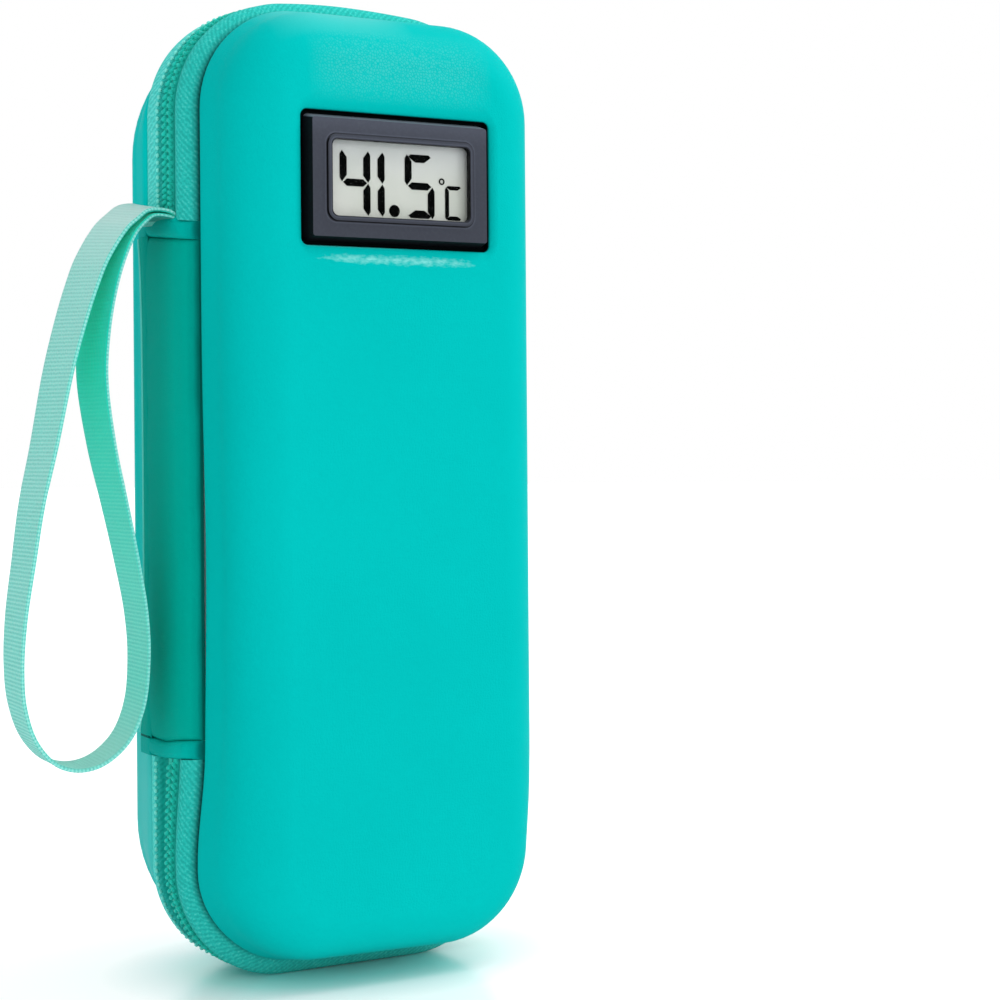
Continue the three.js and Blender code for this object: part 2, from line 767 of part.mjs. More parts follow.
function icePack() {
  const rings = [];
  const ring = (inset, y) => {
    const outline = roundedRect(packWidth - 2 * inset, packLength - 2 * inset, packCorner - inset);
    rings.push(ringOf(outline).map((p) => new THREE.Vector3(p.x, y, p.y)));
  };
  const steps = 4;
  for (let i = 0; i <= 2 * steps; i++) {
    const angle = (i / steps - 1) * (Math.PI / 2);
    ring(packEdge * (1 - Math.cos(angle)), (packThickness / 2) * Math.sin(angle));
  }
  return loft(rings, ringOf(roundedRect(packWidth, packLength, packCorner)));
}

function packBand() {
  const side = packWidth / 2 + seatGap;
  const shoulder = packThickness - bandThickness - 2 * seatGap - 1;
  const top = packWidth / 2 - packEdge + bandThickness + seatGap;
  const rise = packThickness + 2 * seatGap;
  const t = bandThickness;
  const leg = side + t;
  const foot = leg + bandFoot;
  const outer = [[foot, 0], [foot, t], [leg, t], [leg, shoulder + t / 2], [top + t / 2, rise + t]];
  const inner = [[top, rise], [side, shoulder], [side, 0]];
  const right = [...inner, ...outer];
  const left = right.map(([x, y]) => [-x, y]).reverse();
  const outline = [...right, ...left];
  const shape = new THREE.Shape(outline.map(([x, y]) => new THREE.Vector2(x, y)));
  const geometry = new THREE.ExtrudeGeometry(shape, { depth: bandWidth, bevelEnabled: false });
  return geometry.translate(0, 0, -bandWidth / 2);
}

// A pack and its band on the floor of one half. Side is -1 in the lid and 1 in the back half.
function packGroup(side, depth, packName, bandName) {
  const floor = depth - linerSkip - linerWall - seatGap;
  const group = new THREE.Group();
  group.position.set(0, side * floor, packStand + packLength / 2);
  group.rotation.z = side > 0 ? Math.PI : 0;
  const pack = piece(packName, icePack(), finish(0x0a55c8, 0.35));
  pack.position.y = packThickness / 2;
  group.add(pack, piece(bandName, packBand(), finish(0x23262b, 0.9)));
  return group;
}

// Assembly: base, spine and lid, each with what it carries.

const base = new THREE.Group();
base.add(
  backShell,
  backLiner,
  backTape,
  backCoil,
  packGroup(1, backDepth, 'back_ice_pack', 'back_pack_band'),
  sliderGroup(1, 'upper_slider', 'upper_pull_tab'),
  sliderGroup(-1, 'lower_slider', 'lower_pull_tab'),
);

const spine = new THREE.Group();
spine.add(...spineParts, wristStrapMesh);

const lid = new THREE.Group();
lid.add(
  frontShell,
  frontLiner,
  frontTape,
  frontCoil,
  displayModule(),
  packGroup(-1, frontDepth, 'front_ice_pack', 'front_pack_band'),
);

const coolingCase = new THREE.Group();
coolingCase.add(base, spine, lid);

export default coolingCase;
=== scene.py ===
import math

import bmesh
import bpy
import numpy as np
from mathutils import Matrix, Vector

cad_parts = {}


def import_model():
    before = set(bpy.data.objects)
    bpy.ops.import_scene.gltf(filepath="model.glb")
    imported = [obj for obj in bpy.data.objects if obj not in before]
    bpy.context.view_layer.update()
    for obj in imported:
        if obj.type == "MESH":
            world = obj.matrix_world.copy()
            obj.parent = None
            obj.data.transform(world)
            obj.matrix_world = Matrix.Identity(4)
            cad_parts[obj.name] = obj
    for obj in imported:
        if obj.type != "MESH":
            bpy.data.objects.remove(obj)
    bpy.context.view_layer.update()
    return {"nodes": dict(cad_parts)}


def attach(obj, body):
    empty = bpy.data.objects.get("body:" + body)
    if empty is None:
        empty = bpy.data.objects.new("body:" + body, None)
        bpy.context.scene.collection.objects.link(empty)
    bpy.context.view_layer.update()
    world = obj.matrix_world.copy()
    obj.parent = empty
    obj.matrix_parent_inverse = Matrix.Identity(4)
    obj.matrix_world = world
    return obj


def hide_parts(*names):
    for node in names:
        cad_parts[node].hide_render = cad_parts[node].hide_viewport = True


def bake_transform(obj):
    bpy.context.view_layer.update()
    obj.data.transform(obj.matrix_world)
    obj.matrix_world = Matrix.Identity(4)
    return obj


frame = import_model()
nodes = frame["nodes"]

# Sizes in millimetres, as in the part's source
MM = 0.001
FIT = 0.3
CASE_W, CASE_H, CORNER = 89.0, 226.0, 27.0
HALF_W = CASE_W / 2
CENTRE_Z = 112.5
SEAM = 11.5
FRONT_DEPTH, BACK_DEPTH = 30.5, 29.0
FRONT_RIM, BACK_RIM = 3.1, 0.9
DRAFT, WALL = 1.2, 4.0
FRONT_EDGE, BACK_EDGE, BACK_EASE = 12.0, 9.4, 8.0
SPINE_LOW, SPINE_HIGH = CENTRE_Z - 60.75, CENTRE_Z + 60.75
HEM = 4.2
TOP_FOLD, LOW_FOLD = SPINE_HIGH - HEM, SPINE_LOW + HEM
STRAP_W, STRAP_T, STRAP_Y = 15.0, 0.9, 3.5
DISPLAY_Z = 182.5
PACK_W, PACK_H, PACK_T, PACK_CORNER, PACK_EDGE, PACK_Z = 44.0, 120.0, 14.0, 21.5, 4.5, 78.0
BAND_W, BAND_T = 25.0, 1.0
LINED_WALL = 5.8

# Meshes

CORNER_STEPS, LONG_STEPS, SHORT_STEPS = 16, 44, 30


def make_object(name, shape, angle):
    """A mesh object from points in millimetres, faces and a map if it has one, smooth up to an angle."""
    verts, faces, *maps = shape
    mesh = bpy.data.meshes.new(name)
    mesh.from_pydata((np.asarray(verts, float) * MM).tolist(), [], faces)
    for uvs in maps:
        layer = mesh.uv_layers.new(name="UVMap")
        index = np.zeros(len(mesh.loops), np.int32)
        mesh.loops.foreach_get("vertex_index", index)
        layer.data.foreach_set("uv", np.asarray(uvs, np.float32)[index].ravel())
    bm = bmesh.new()
    bm.from_mesh(mesh)
    bmesh.ops.recalc_face_normals(bm, faces=bm.faces)
    bm.to_mesh(mesh)
    bm.free()
    mesh.polygons.foreach_set("use_smooth", [True] * len(mesh.polygons))
    mesh.set_sharp_from_angle(angle=math.radians(angle))
    obj = bpy.data.objects.new(name, mesh)
    bpy.context.scene.collection.objects.link(obj)
    return obj


def loft(rings, wrap=False):
    """Points and faces of a skin through closed rings of equal count, capped unless it wraps round."""
    count = len(rings[0])
    faces = []
    for r in range(len(rings) if wrap else len(rings) - 1):
        a, b = r * count, ((r + 1) % len(rings)) * count
        for i in range(count):
            j = (i + 1) % count
            faces.append((a + i, a + j, b + j, b + i))
    if not wrap:
        faces.append(tuple(range(count)))
        faces.append(tuple(range((len(rings) - 1) * count, len(rings) * count)))
    return np.vstack(rings), faces


def joined(parts):
    """Several (points, faces) put together."""
    verts, faces, start = [], [], 0
    for points, part_faces in parts:
        verts.append(points)
        faces.extend(tuple(i + start for i in face) for face in part_faces)
        start += len(points)
    return np.vstack(verts), faces


def rounded(width, height, radius, centre):
    """Points (x, z) round a rectangle with round corners, the same count for every size."""
    x, z = width / 2 - radius, height / 2 - radius
    corners = np.array(((x, z), (-x, z), (-x, -z), (x, -z)))
    points = []
    for quarter in range(4):
        turn = math.pi / 2 * (quarter + np.arange(CORNER_STEPS + 1) / CORNER_STEPS)
        reach = radius * np.column_stack([np.cos(turn), np.sin(turn)])
        arc = corners[quarter] + reach
        end = corners[(quarter + 1) % 4] + reach[-1]
        steps = LONG_STEPS if quarter % 2 else SHORT_STEPS
        points += [arc, arc[-1] + np.outer(np.arange(1, steps) / steps, end - arc[-1])]
    return np.vstack(points) + centre


def at_depth(outline, y):
    """An outline of (x, z) points set at one depth."""
    return np.column_stack([outline[:, 0], np.full(len(outline), y), outline[:, 1]])


def at_height(outline, z):
    """An outline of (x, y) points set at one height."""
    return np.column_stack([outline, np.full(len(outline), z)])


def case_outline(inset, ease):
    """The case's outline drawn in by an inset, its corners opened by an ease."""
    return rounded(CASE_W - 2 * inset, CASE_H - 2 * inset, CORNER - inset + ease, (0, CENTRE_Z))


def circle(count):
    """Points of a circle of radius 1."""
    turn = np.linspace(0, 2 * math.pi, count, endpoint=False)
    return np.column_stack([np.cos(turn), np.sin(turn)])


def run_lengths(points):
    """The length along a line of points at each of them."""
    return np.concatenate([[0.0], np.cumsum(np.linalg.norm(np.diff(points, axis=0), axis=1))])


def strip_map(along, section):
    """A map in metres for a strip: its length by the girth of its section."""
    return np.array([(d * MM, g * MM) for d in along for g in run_lengths(section)])


def headings(line):
    """The unit directions along a line of points."""
    heading = np.gradient(line, axis=0)
    return heading / np.linalg.norm(heading, axis=1)[:, None]


def share(value, zero, full):
    """From 0 to 1, evenly, as a value goes from one place to another."""
    return np.clip((np.asarray(value) - zero) / (full - zero), 0.0, 1.0)


def eased(value, zero, full):
    """From 0 to 1, softly, as a value goes from one place to another."""
    t = share(value, zero, full)
    return t * t * (3 - 2 * t)


# The lean of the soft front, from its face to where its rounded edge ends

LOW_LEAN, SIDE_LEAN, LOW_LIFT, LOW_TUCK = 2.0, 0.75, 2.3, 3.4
FACE_Y, EDGE_END_Y = -FRONT_DEPTH, FRONT_EDGE - FRONT_DEPTH


def drift(points):
    """The soft front leans: its low end to the left, its left side in at half height. Back and face stay."""
    x, y, z = points.T
    across = x / HALF_W
    front = share(y, 9.0, -11.0) * share(y, FACE_Y, EDGE_END_Y)
    low = -LOW_LEAN * eased(z, 54.0, 28.0) * (0.75 - 0.25 * across)
    middle = SIDE_LEAN * np.exp(-((z - 95.0) / 32.0) ** 2) * share(-across, 0.0, 1.0)
    return np.column_stack([x + front * (low + middle), y, z])


def raised(points):
    """The lid's low end is drawn up on its left and in on its right, and the tape with it. Its face stays."""
    x, y, z = points.T
    across = x / HALF_W
    near = share(y, FACE_Y, EDGE_END_Y)
    part = near * (2.0 - near) * share(y, -7.0, -9.6)
    lift = LOW_LIFT * part * eased(z, 38.0, 6.0) * (0.65 - 0.35 * across)
    tuck = LOW_TUCK * part * eased(z, 42.0, 10.0) * share(across, 0.0, 1.0)
    return np.column_stack([x - tuck, y, z + lift])


# Zipper belt: a distance from the spine's top end, round the case to the spine's bottom end
# Each run is its length, its start or the centre of its turn, its heading in degrees and whether it turns

STRAIGHT_TOP = CASE_W - 2 * CORNER
STRAIGHT_SIDE = CASE_H - 2 * CORNER
ARC = CORNER * math.pi / 2
LEFT_PART = (STRAIGHT_SIDE - (SPINE_HIGH - SPINE_LOW)) / 2 - FIT
TURN_X = STRAIGHT_TOP / 2
TURN_HIGH, TURN_LOW = CENTRE_Z + STRAIGHT_SIDE / 2, CENTRE_Z - STRAIGHT_SIDE / 2
RUNS = (
    (LEFT_PART, (-HALF_W, SPINE_HIGH + FIT), 90, False),
    (ARC, (-TURN_X, TURN_HIGH), 90, True),
    (STRAIGHT_TOP, (-TURN_X, CENTRE_Z + CASE_H / 2), 0, False),
    (ARC, (TURN_X, TURN_HIGH), 0, True),
    (STRAIGHT_SIDE, (HALF_W, TURN_HIGH), -90, False),
    (ARC, (TURN_X, TURN_LOW), -90, True),
    (STRAIGHT_TOP, (TURN_X, CENTRE_Z - CASE_H / 2), -180, False),
    (ARC, (-TURN_X, TURN_LOW), -180, True),
    (LEFT_PART, (-HALF_W, TURN_LOW), -270, False),
)
BELT = sum(run[0] for run in RUNS)
TOP_START = LEFT_PART + ARC
TOP_FINISH = TOP_START + STRAIGHT_TOP
CROWN, CROWN_REACH = 1.4, 6.0
SAG, SAG_PLACE, SAG_WIDTH = 0.8, TOP_FINISH + 14.0, 11.0
HEM_SLANT, HEM_LIFT, LOW_SLANT = 0.1, 1.1, 0.065
ROLL_BULGE = 1.3
RIDGE_YS = (2.9, 6.0, 8.6, 11.1)
ROLL_YS = (3.3, 6.0, 9.0, 10.6)
MIDDLE_ONLY = (0.0, 1.0, 1.0, 0.0)


def belt_frame(distance):
    """The crown line's point, its heading and its outward normal, in (x, z)."""
    left = distance
    for length, anchor, degrees, turns in RUNS:
        if left <= length:
            break
        left -= length
    angle = math.radians(degrees) - (left / CORNER if turns else 0.0)
    heading = np.array((math.cos(angle), math.sin(angle)))
    normal = np.array((-heading[1], heading[0]))
    point = np.array(anchor) + (CORNER * normal if turns else left * heading)
    return point, heading, normal


def belt_lift(distance):
    """How far the slack cloth of the belt crowns up over the top, and sags at the far corner."""
    u = (distance - TOP_START + CROWN_REACH) / (STRAIGHT_TOP + 2 * CROWN_REACH)
    crown = CROWN * math.sin(math.pi * u ** 0.85) ** 1.3 if 0.0 < u < 1.0 else 0.0
    return crown - SAG * math.exp(-((distance - SAG_PLACE) / SAG_WIDTH) ** 2)


def top_slant(y):
    """The top hem rises towards the back."""
    return SPINE_HIGH + HEM_SLANT * np.clip(np.asarray(y) + 11.2, 0.0, 26.0)


def top_end(y):
    """The top hem's edge, drawn up over the strap's sewn ends."""
    return top_slant(y) + HEM_LIFT * eased(y, -6.2, -3.6) * (1.0 - eased(y, 10.5, 13.5))


def low_end(y):
    """The bottom hem's edge is a little higher at the front."""
    return SPINE_LOW - 1.0 + LOW_SLANT * np.clip(5.0 - np.asarray(y), 0.0, 16.0)


def end_shift(distance, y):
    """How far the belt's ends move along to meet the edges of the spine's hems."""
    reach, gap = 9.0, 0.28
    at_top = max(1.0 - distance / reach, 0.0) * (top_end(y) - SPINE_HIGH - gap)
    at_low = max(1.0 - (BELT - distance) / reach, 0.0) * (low_end(y) - SPINE_LOW + gap)
    return at_top + at_low


def ridge_shift(distance):
    """How far the back tape's sewn ridge strays: towards the coil at the top end, away at the low end."""
    return float(np.interp(distance, (75.0, 140.0, BELT - 140.0, BELT - 75.0), (-2.4, 0.0, 0.0, 1.2)))


def roll_shift(distance):
    """How far the front tape's roll bulges forwards under the lid's low end."""
    places = (BELT - 160.0, BELT - 110.0, BELT - 45.0, BELT - 20.0)
    return ROLL_BULGE * float(np.interp(distance, places, MIDDLE_ONLY))


def belt_points(distance, section):
    """A section of (y, inset) pairs carried to a place on the belt, fixed at the seams."""
    point, _, normal = belt_frame(distance)
    y, inset = np.array(section, float).T
    y = y + ridge_shift(distance) * np.interp(y, RIDGE_YS, MIDDLE_ONLY)
    y = y - roll_shift(distance) * np.interp(-y, ROLL_YS, MIDDLE_ONLY)
    loose = 1.0 - share(np.abs(y), 0.0, SEAM) ** 3
    flat = point - np.outer(inset - belt_lift(distance) * loose, normal)
    return raised(drift(np.column_stack([flat[:, 0], y, flat[:, 1] + end_shift(distance, y)])))


# Node trees

def maths(operation):
    """A method of Value that adds a Math node."""
    def method(value, *others):
        return add_node(value.tree, "Math", "Value", value, *others, operation=operation)
    return method


class Value:
    """An output in a node tree. Arithmetic with it adds the nodes that work it out."""

    def __init__(self, tree, socket):
        self.tree = tree
        self.socket = socket

    __add__ = maths("ADD")
    __sub__ = maths("SUBTRACT")
    __mul__ = maths("MULTIPLY")
    __truediv__ = maths("DIVIDE")
    __pow__ = maths("POWER")
    __abs__ = maths("ABSOLUTE")
    larger = maths("MAXIMUM")
    smaller = maths("MINIMUM")
    above = maths("GREATER_THAN")
    below = maths("LESS_THAN")

    def __rsub__(self, other):
        return add_node(self.tree, "Math", "Value", other, self, operation="SUBTRACT")

    def span(self, low, high, start=0.0, end=1.0):
        """A share that goes from start to end as this goes from low to high."""
        return add_node(self.tree, "MapRange", "Result", self, low, high, start, end)

    def hump(self, middle, reach, power):
        """A share that is 1 at a middle and falls to 0 at its reach on both sides."""
        return (1.0 - abs((self - middle) / reach) ** power).larger(0.0)


def fill(tree, node, inputs, values):
    """Sets a node's settings, and its inputs in order or by name with _ for a space."""
    slots = list(zip(node.inputs, inputs))
    for key, value in values.items():
        if hasattr(node, key):
            setattr(node, key, value)
        else:
            slots.append((node.inputs[key.replace("_", " ")], value))
    for slot, value in slots:
        if isinstance(value, Value):
            tree.links.new(value.socket, slot)
        else:
            slot.default_value = value


def add_node(tree, kind, output, *inputs, **values):
    """An output of a new node."""
    node = tree.nodes.new("ShaderNode" + kind)
    fill(tree, node, inputs, values)
    return Value(tree, node.outputs[output])


class Nodes:
    """A material's node tree, with short ways to add to it. Places are in millimetres."""

    def __init__(self, name):
        self.material = bpy.data.materials.new(name)
        self.material.use_nodes = True
        self.tree = self.material.node_tree
        self.shader = self.tree.nodes["Principled BSDF"]

    def add(self, kind, output, *inputs, **values):
        return add_node(self.tree, kind, output, *inputs, **values)

    def coords(self, kind, scale=(1, 1, 1), turn=0.0):
        """Coordinates for a texture, stretched and turned by degrees."""
        source = self.add("TexCoord", kind)
        return self.add("Mapping", "Vector", source, Scale=scale, Rotation=(0, 0, math.radians(turn)))

    def split(self, vector):
        """The x, y and z of a vector."""
        first = self.add("SeparateXYZ", "X", vector)
        return [Value(self.tree, socket) for socket in first.socket.node.outputs]

    def place(self, kind="Object"):
        """Where the surface is, as x, y and z in the object's space or on its map."""
        source = self.add("TexCoord", kind)
        return self.split(self.add("VectorMath", "Vector", source, operation="SCALE", Scale=1 / MM))

    def normal(self):
        """Which way the surface faces, as x, y and z from -1 to 1."""
        return self.split(self.add("TexCoord", "Normal"))

    def noise(self, vector, scale, detail):
        return self.add("TexNoise", "Fac", vector, Scale=scale, Detail=detail)

    def bands(self, vector, direction, **values):
        """Even waves along a direction."""
        return self.add("TexWave", "Fac", vector, wave_type="BANDS", bands_direction=direction,
                        wave_profile="SIN", **values)

    def ramp(self, value, stops):
        colours = self.add("ValToRGB", "Color", value)
        elements = colours.socket.node.color_ramp.elements
        while len(elements) < len(stops):
            elements.new(0.5)
        for element, (place, colour) in zip(elements, stops):
            element.position = place
            element.color = colour
        return colours

    def toned(self, value, colour, dark, light):
        """A colour that goes from a darker to a lighter shade with a value."""
        return self.ramp(value, ((0.3, shade(colour, dark)), (0.7, shade(colour, light))))

    def banded(self, colours, place, bands):
        """Colours darkened, lightened or tinted by a place: each band is a place and its level or tint."""
        low, high = bands[0][0], bands[-1][0]
        tints = [(at, level if isinstance(level, tuple) else (level,) * 3) for at, level in bands]
        top = max(max(tint) for _, tint in tints)
        stops = [((at - low) / (high - low), (*(v / top for v in tint), 1.0)) for at, tint in tints]
        levels = self.ramp(place.span(low, high), stops)
        scaled = self.add("VectorMath", "Vector", levels, operation="SCALE", Scale=top)
        return self.add("VectorMath", "Vector", colours, scaled, operation="MULTIPLY")

    def mixed(self, colours, other, part):
        """Colours that turn into another one by a share from 0 to 1."""
        node = self.tree.nodes.new("ShaderNodeMix")
        node.data_type = "RGBA"
        slots = {slot.identifier: slot for slot in (*node.inputs, *node.outputs)}
        slots["B_Color"].default_value = other
        self.tree.links.new(part.socket, slots["Factor_Float"])
        self.tree.links.new(colours.socket, slots["A_Color"])
        return Value(self.tree, slots["Result_Color"])

    def bump(self, height, strength, depth):
        return self.add("Bump", "Normal", Height=height, Strength=strength, Distance=depth * MM)

    def shaded(self, **values):
        """The material, with these values on its own shader."""
        fill(self.tree, self.shader, (), values)
        return self.material

    def shown(self, shader):
        """The material, with another shader as its surface."""
        self.tree.links.new(shader.socket, self.tree.nodes["Material Output"].inputs["Surface"])
        return self.material


def seen_rays(tree):
    """1 for what the camera sees, also in mirrors and through clear pieces, 0 for light on a surface."""
    seen = add_node(tree, "LightPath", "Is Camera Ray")
    rays = seen.socket.node.outputs
    for ray in ("Is Glossy Ray", "Is Transmission Ray"):
        seen = seen.larger(Value(tree, rays[ray]))
    return seen


# Colours

def srgb(r, g, b):
    """A colour written as it looks, 0 to 255, as linear values."""
    shares = (v / 255.0 for v in (r, g, b))
    return (*(s / 12.92 if s <= 0.04045 else ((s + 0.055) / 1.055) ** 2.4 for s in shares), 1.0)


def grey(level):
    return (level, level, level, 1.0)


def shade(colour, factor):
    return (*(v * factor for v in colour[:3]), 1.0)


# Bands of painted light and shade as (place in millimetres, level or tint): by depth, along the girth, by
# height, from the lip
SPINE_PAINTED_LIGHT_SHADE = (
    (-10.6, 0.25), (-10.1, 0.45), (-9.4, 0.82), (-7.5, 1.05), (-3.0, 1.12), (4.0, 0.96), (11.0, 0.92),
)
FRONT_TAPE_PAINTED_LIGHT_SHADE = (
    (0.0, 0.6), (2.8, 0.6), (4.0, 1.0), (6.5, 1.15), (10.2, 1.05), (11.2, 0.75), (12.0, 0.2),
)
VALLEY_SHADE = (0.08, 0.54, 0.5)
BACK_TAPE_PAINTED_LIGHT_SHADE = (
    (0.0, VALLEY_SHADE), (6.4, VALLEY_SHADE), (7.3, (0.3, 0.7, 0.68)), (8.1, (0.6, 0.85, 0.85)), (8.9, 1.15),
    (12.0, 1.15),
)
COIL_PAINTED_SHADE = ((0.1, 0.45), (0.6, 0.95), (1.6, 1.05), (2.4, 0.7))
BEZEL_PAINTED_TOP_LIGHT = ((-14.3, 0.95), (0.0, 0.98), (9.0, 1.1), (14.3, 1.6))
LIP_HALF_W, LIP_HALF_H, LIP_CORNER = 18.2, 8.6, 1.2
LIP_PAINTED_LIGHT_SHADE = (
    (-0.2, 0.3), (0.1, 0.4), (0.35, 1.5), (0.6, 1.0), (0.95, 0.9), (1.15, 0.35), (1.3, 0.45), (1.45, 1.6),
    (1.8, 1.05), (2.2, 1.0),
)
LCD_HALF_H = 9.5
WRINKLE_Z = 164.5
# Half sizes of the region of the painted shadow round the display
GROOVE_SHADOW_HALF_W, GROOVE_SHADOW_HALF_H = 25.8, 16.2
LAP_FOLD_Z = LOW_FOLD - 1.1


# Materials

def leather(name, colour, roughness, grain, lid=False, spine=False, painted_low_sheen=None):
    """Embossed leather cloth: small pebbles with fine creases, and a slow change of tone."""
    m = Nodes(name)
    vector = m.coords("Object")
    cells = m.add("TexVoronoi", "Distance", Vector=vector, feature="DISTANCE_TO_EDGE", Scale=1400.0,
                  Randomness=0.9)
    pebbles = (cells * 4.0).smaller(1.0)
    height = pebbles + m.noise(vector, 700.0, 2.0) * 0.8
    tone = m.noise(vector, 18.0, 4.0)
    colours = m.toned(tone, colour, 0.97, 1.02)
    # The lid's skin gets painted highlights and a painted shadow round the display
    if lid:
        folds = wrinkles(m)
        height = height + folds * 9.0
        colours = lid_painted_light_and_shade(m, colours, pebbles, folds)
    # The spine and its hems get painted light and shade
    if spine:
        colours = spine_painted_light_and_shade(m, colours)
    # Painted sheen: a paler tint on the back half's low left side
    if painted_low_sheen:
        x, _, z = m.place()
        colours = m.mixed(colours, painted_low_sheen, z.span(75.0, 45.0, end=0.45) * x.span(-36.0, -42.5))
    return m.shaded(
        Base_Color=colours, Roughness=tone * 0.12 + (roughness - 0.06), IOR=1.06,
        Normal=m.bump(height, grain, 0.22),
    )


def wrinkles(m):
    """Shallow wrinkles where the skin is drawn over the edge below the display."""
    x, _, z = m.place()
    folds = m.noise(m.coords("Object", scale=(0.7, 1.0, 1.6)), 900.0, 3.0)
    return folds * (x.hump(0.0, 25.0, 4.0) * z.hump(WRINKLE_Z, 2.2, 1.0))


def lid_painted_light_and_shade(m, colours, pebbles, folds):
    """Painted highlights on the wrinkles, above the display and along the top; painted shadow round the
    display.
    """
    x, y, z = m.place()
    # Painted highlight on the wrinkles below the display
    colours = m.mixed(colours, srgb(150, 242, 236), (folds - 0.22).larger(0.0) * 1.9)
    # Painted sheen over the display and along the top edge
    highlight_over_display = x.hump(1.0, 24.5, 4.0) * pebbles * z.hump(208.5, 9.0, 2.0)
    highlight_along_top = x.hump(-12.0, 18.0, 2.0) * m.normal()[2].span(0.45, 0.9, end=0.26)
    colours = m.mixed(colours, srgb(150, 236, 231), highlight_over_display * 0.15 + highlight_along_top)
    # Painted shadow: near black in the groove beside the display's bezel
    sunk = y + FRONT_DEPTH
    cut = abs(x).below(GROOVE_SHADOW_HALF_W) * abs(z - DISPLAY_Z).below(GROOVE_SHADOW_HALF_H) * sunk.below(5.0)
    return m.mixed(colours, srgb(2, 8, 9), cut * sunk.span(0.85, 1.25))


def spine_painted_light_and_shade(m, colours):
    """Painted shade on the spine, darkest at its front seam, and a painted shade line on the fold across its
    lap.
    """
    _, y, z = m.place()
    colours = m.banded(colours, y, SPINE_PAINTED_LIGHT_SHADE)
    return m.mixed(colours, srgb(0, 110, 101), abs(z - LAP_FOLD_Z).below(0.28) * y.above(11.2))


def twill(name, colour, light, bands):
    """Woven zipper tape: slanted twill lines and a fine fuzz, painted shade in its creases and painted light
    on its raised parts, laid by its own map.
    """
    m = Nodes(name)
    vector = m.coords("UV")
    lines = m.bands(vector, "DIAGONAL", Scale=430.0, Distortion=3.5, Detail=3.0, Detail_Scale=3.0)
    slanted = m.coords("UV", scale=(1.0, 0.55, 1.0), turn=35.0)
    yarn = m.add("TexVoronoi", "Distance", Vector=slanted, Scale=1500.0)
    fibre = m.noise(vector, 1900.0, 4.0) * (1.35 - yarn)
    weave = lines * 0.3 + fibre * 0.75
    colours = m.ramp(weave, ((0.28, shade(colour, 0.8)), (0.52, colour), (0.85, light)))
    # Painted light and shade across the tape's girth
    girth = m.place("UV")[1]
    return m.shaded(
        Base_Color=m.banded(colours, girth, bands), Roughness=0.85, Sheen_Weight=0.04, IOR=1.08,
        Normal=m.bump(weave, 0.45, 0.22),
    )


def nylon(name, colour):
    """Zipper coil: drawn nylon with a slight sheen, painted shade in the line where the two halves meet and
    at its outer edge.
    """
    m = Nodes(name)
    fine = m.noise(m.coords("Object"), 1200.0, 3.0)
    colours = m.toned(fine, colour, 0.85, 1.1)
    from_line = abs(m.place()[1])
    return m.shaded(
        Base_Color=m.banded(colours, from_line, COIL_PAINTED_SHADE), Roughness=0.5, IOR=1.12,
        Normal=m.bump(fine, 0.15, 0.15),
    )


def webbing(name, colour, light, glow=None):
    """Ribbed webbing: raised ribs across it and yarns along it. With a glow, a little light comes through."""
    m = Nodes(name)
    vector = m.coords("UV")
    ribs = m.bands(vector, "X", Scale=349.0, Distortion=0.9, Detail_Scale=2.0)
    yarns = m.bands(vector, "Y", Scale=430.0, Distortion=0.8)
    fuzz = m.noise(vector, 1800.0, 4.0)
    weave = ribs * 0.5 + yarns * 0.3
    colours = m.ramp(
        weave * 0.6 + fuzz * 0.55, ((0.2, shade(colour, 0.66)), (0.55, colour), (0.95, light)))
    if glow:
        # The strap gets painted light and shade
        colours = strap_painted_light_and_shade(m, colours, light, glow)
        cloth = Value(m.tree, m.shader.outputs["BSDF"])
        m.shown(m.add("MixShader", "Shader", 0.1, cloth, m.add("BsdfTranslucent", "BSDF", Color=glow)))
    return m.shaded(
        Base_Color=colours, Roughness=0.75, Sheen_Weight=0.15, Specular_IOR_Level=0.15,
        Normal=m.bump(weave + fuzz * 0.5, 0.45, 0.25),
    )


def strap_painted_light_and_shade(m, colours, light, glow):
    """Painted light on the arch's upper faces, a painted teal bounce inside the loop, and a painted shadow
    under the root.
    """
    inside = m.place("UV")[1].span(15.1, 14.3)
    z = m.place()[2]
    rise = m.normal()[2]
    colours = m.mixed(colours, light, rise.span(0.1, 0.8, end=0.75))
    colours = m.mixed(colours, glow, inside * z.span(80.0, 140.0, 0.3, 0.95))
    root_painted_shadow = (1.0 - inside) * z.span(169.5, 171.5) * rise.span(-0.1, -0.45)
    return m.mixed(colours, srgb(0, 160, 148), root_painted_shadow)


def plastic(name, colour, roughness, speckle=0.08, scale=1400.0, bump=0.12, metallic=0.0, level=0.5):
    """Moulded plastic or enamel: a fine spark-eroded texture and a slight change of tone."""
    m = Nodes(name)
    vector = m.coords("Object")
    fine = m.noise(vector, scale, 3.0)
    slow = m.noise(vector, 35.0, 2.0)
    return m.shaded(
        Base_Color=m.toned(slow, colour, 1 - speckle, 1 + speckle),
        Roughness=fine * 0.14 + (roughness - 0.07), Metallic=metallic, Specular_IOR_Level=level,
        Normal=m.bump(fine, bump, 0.15),
    )


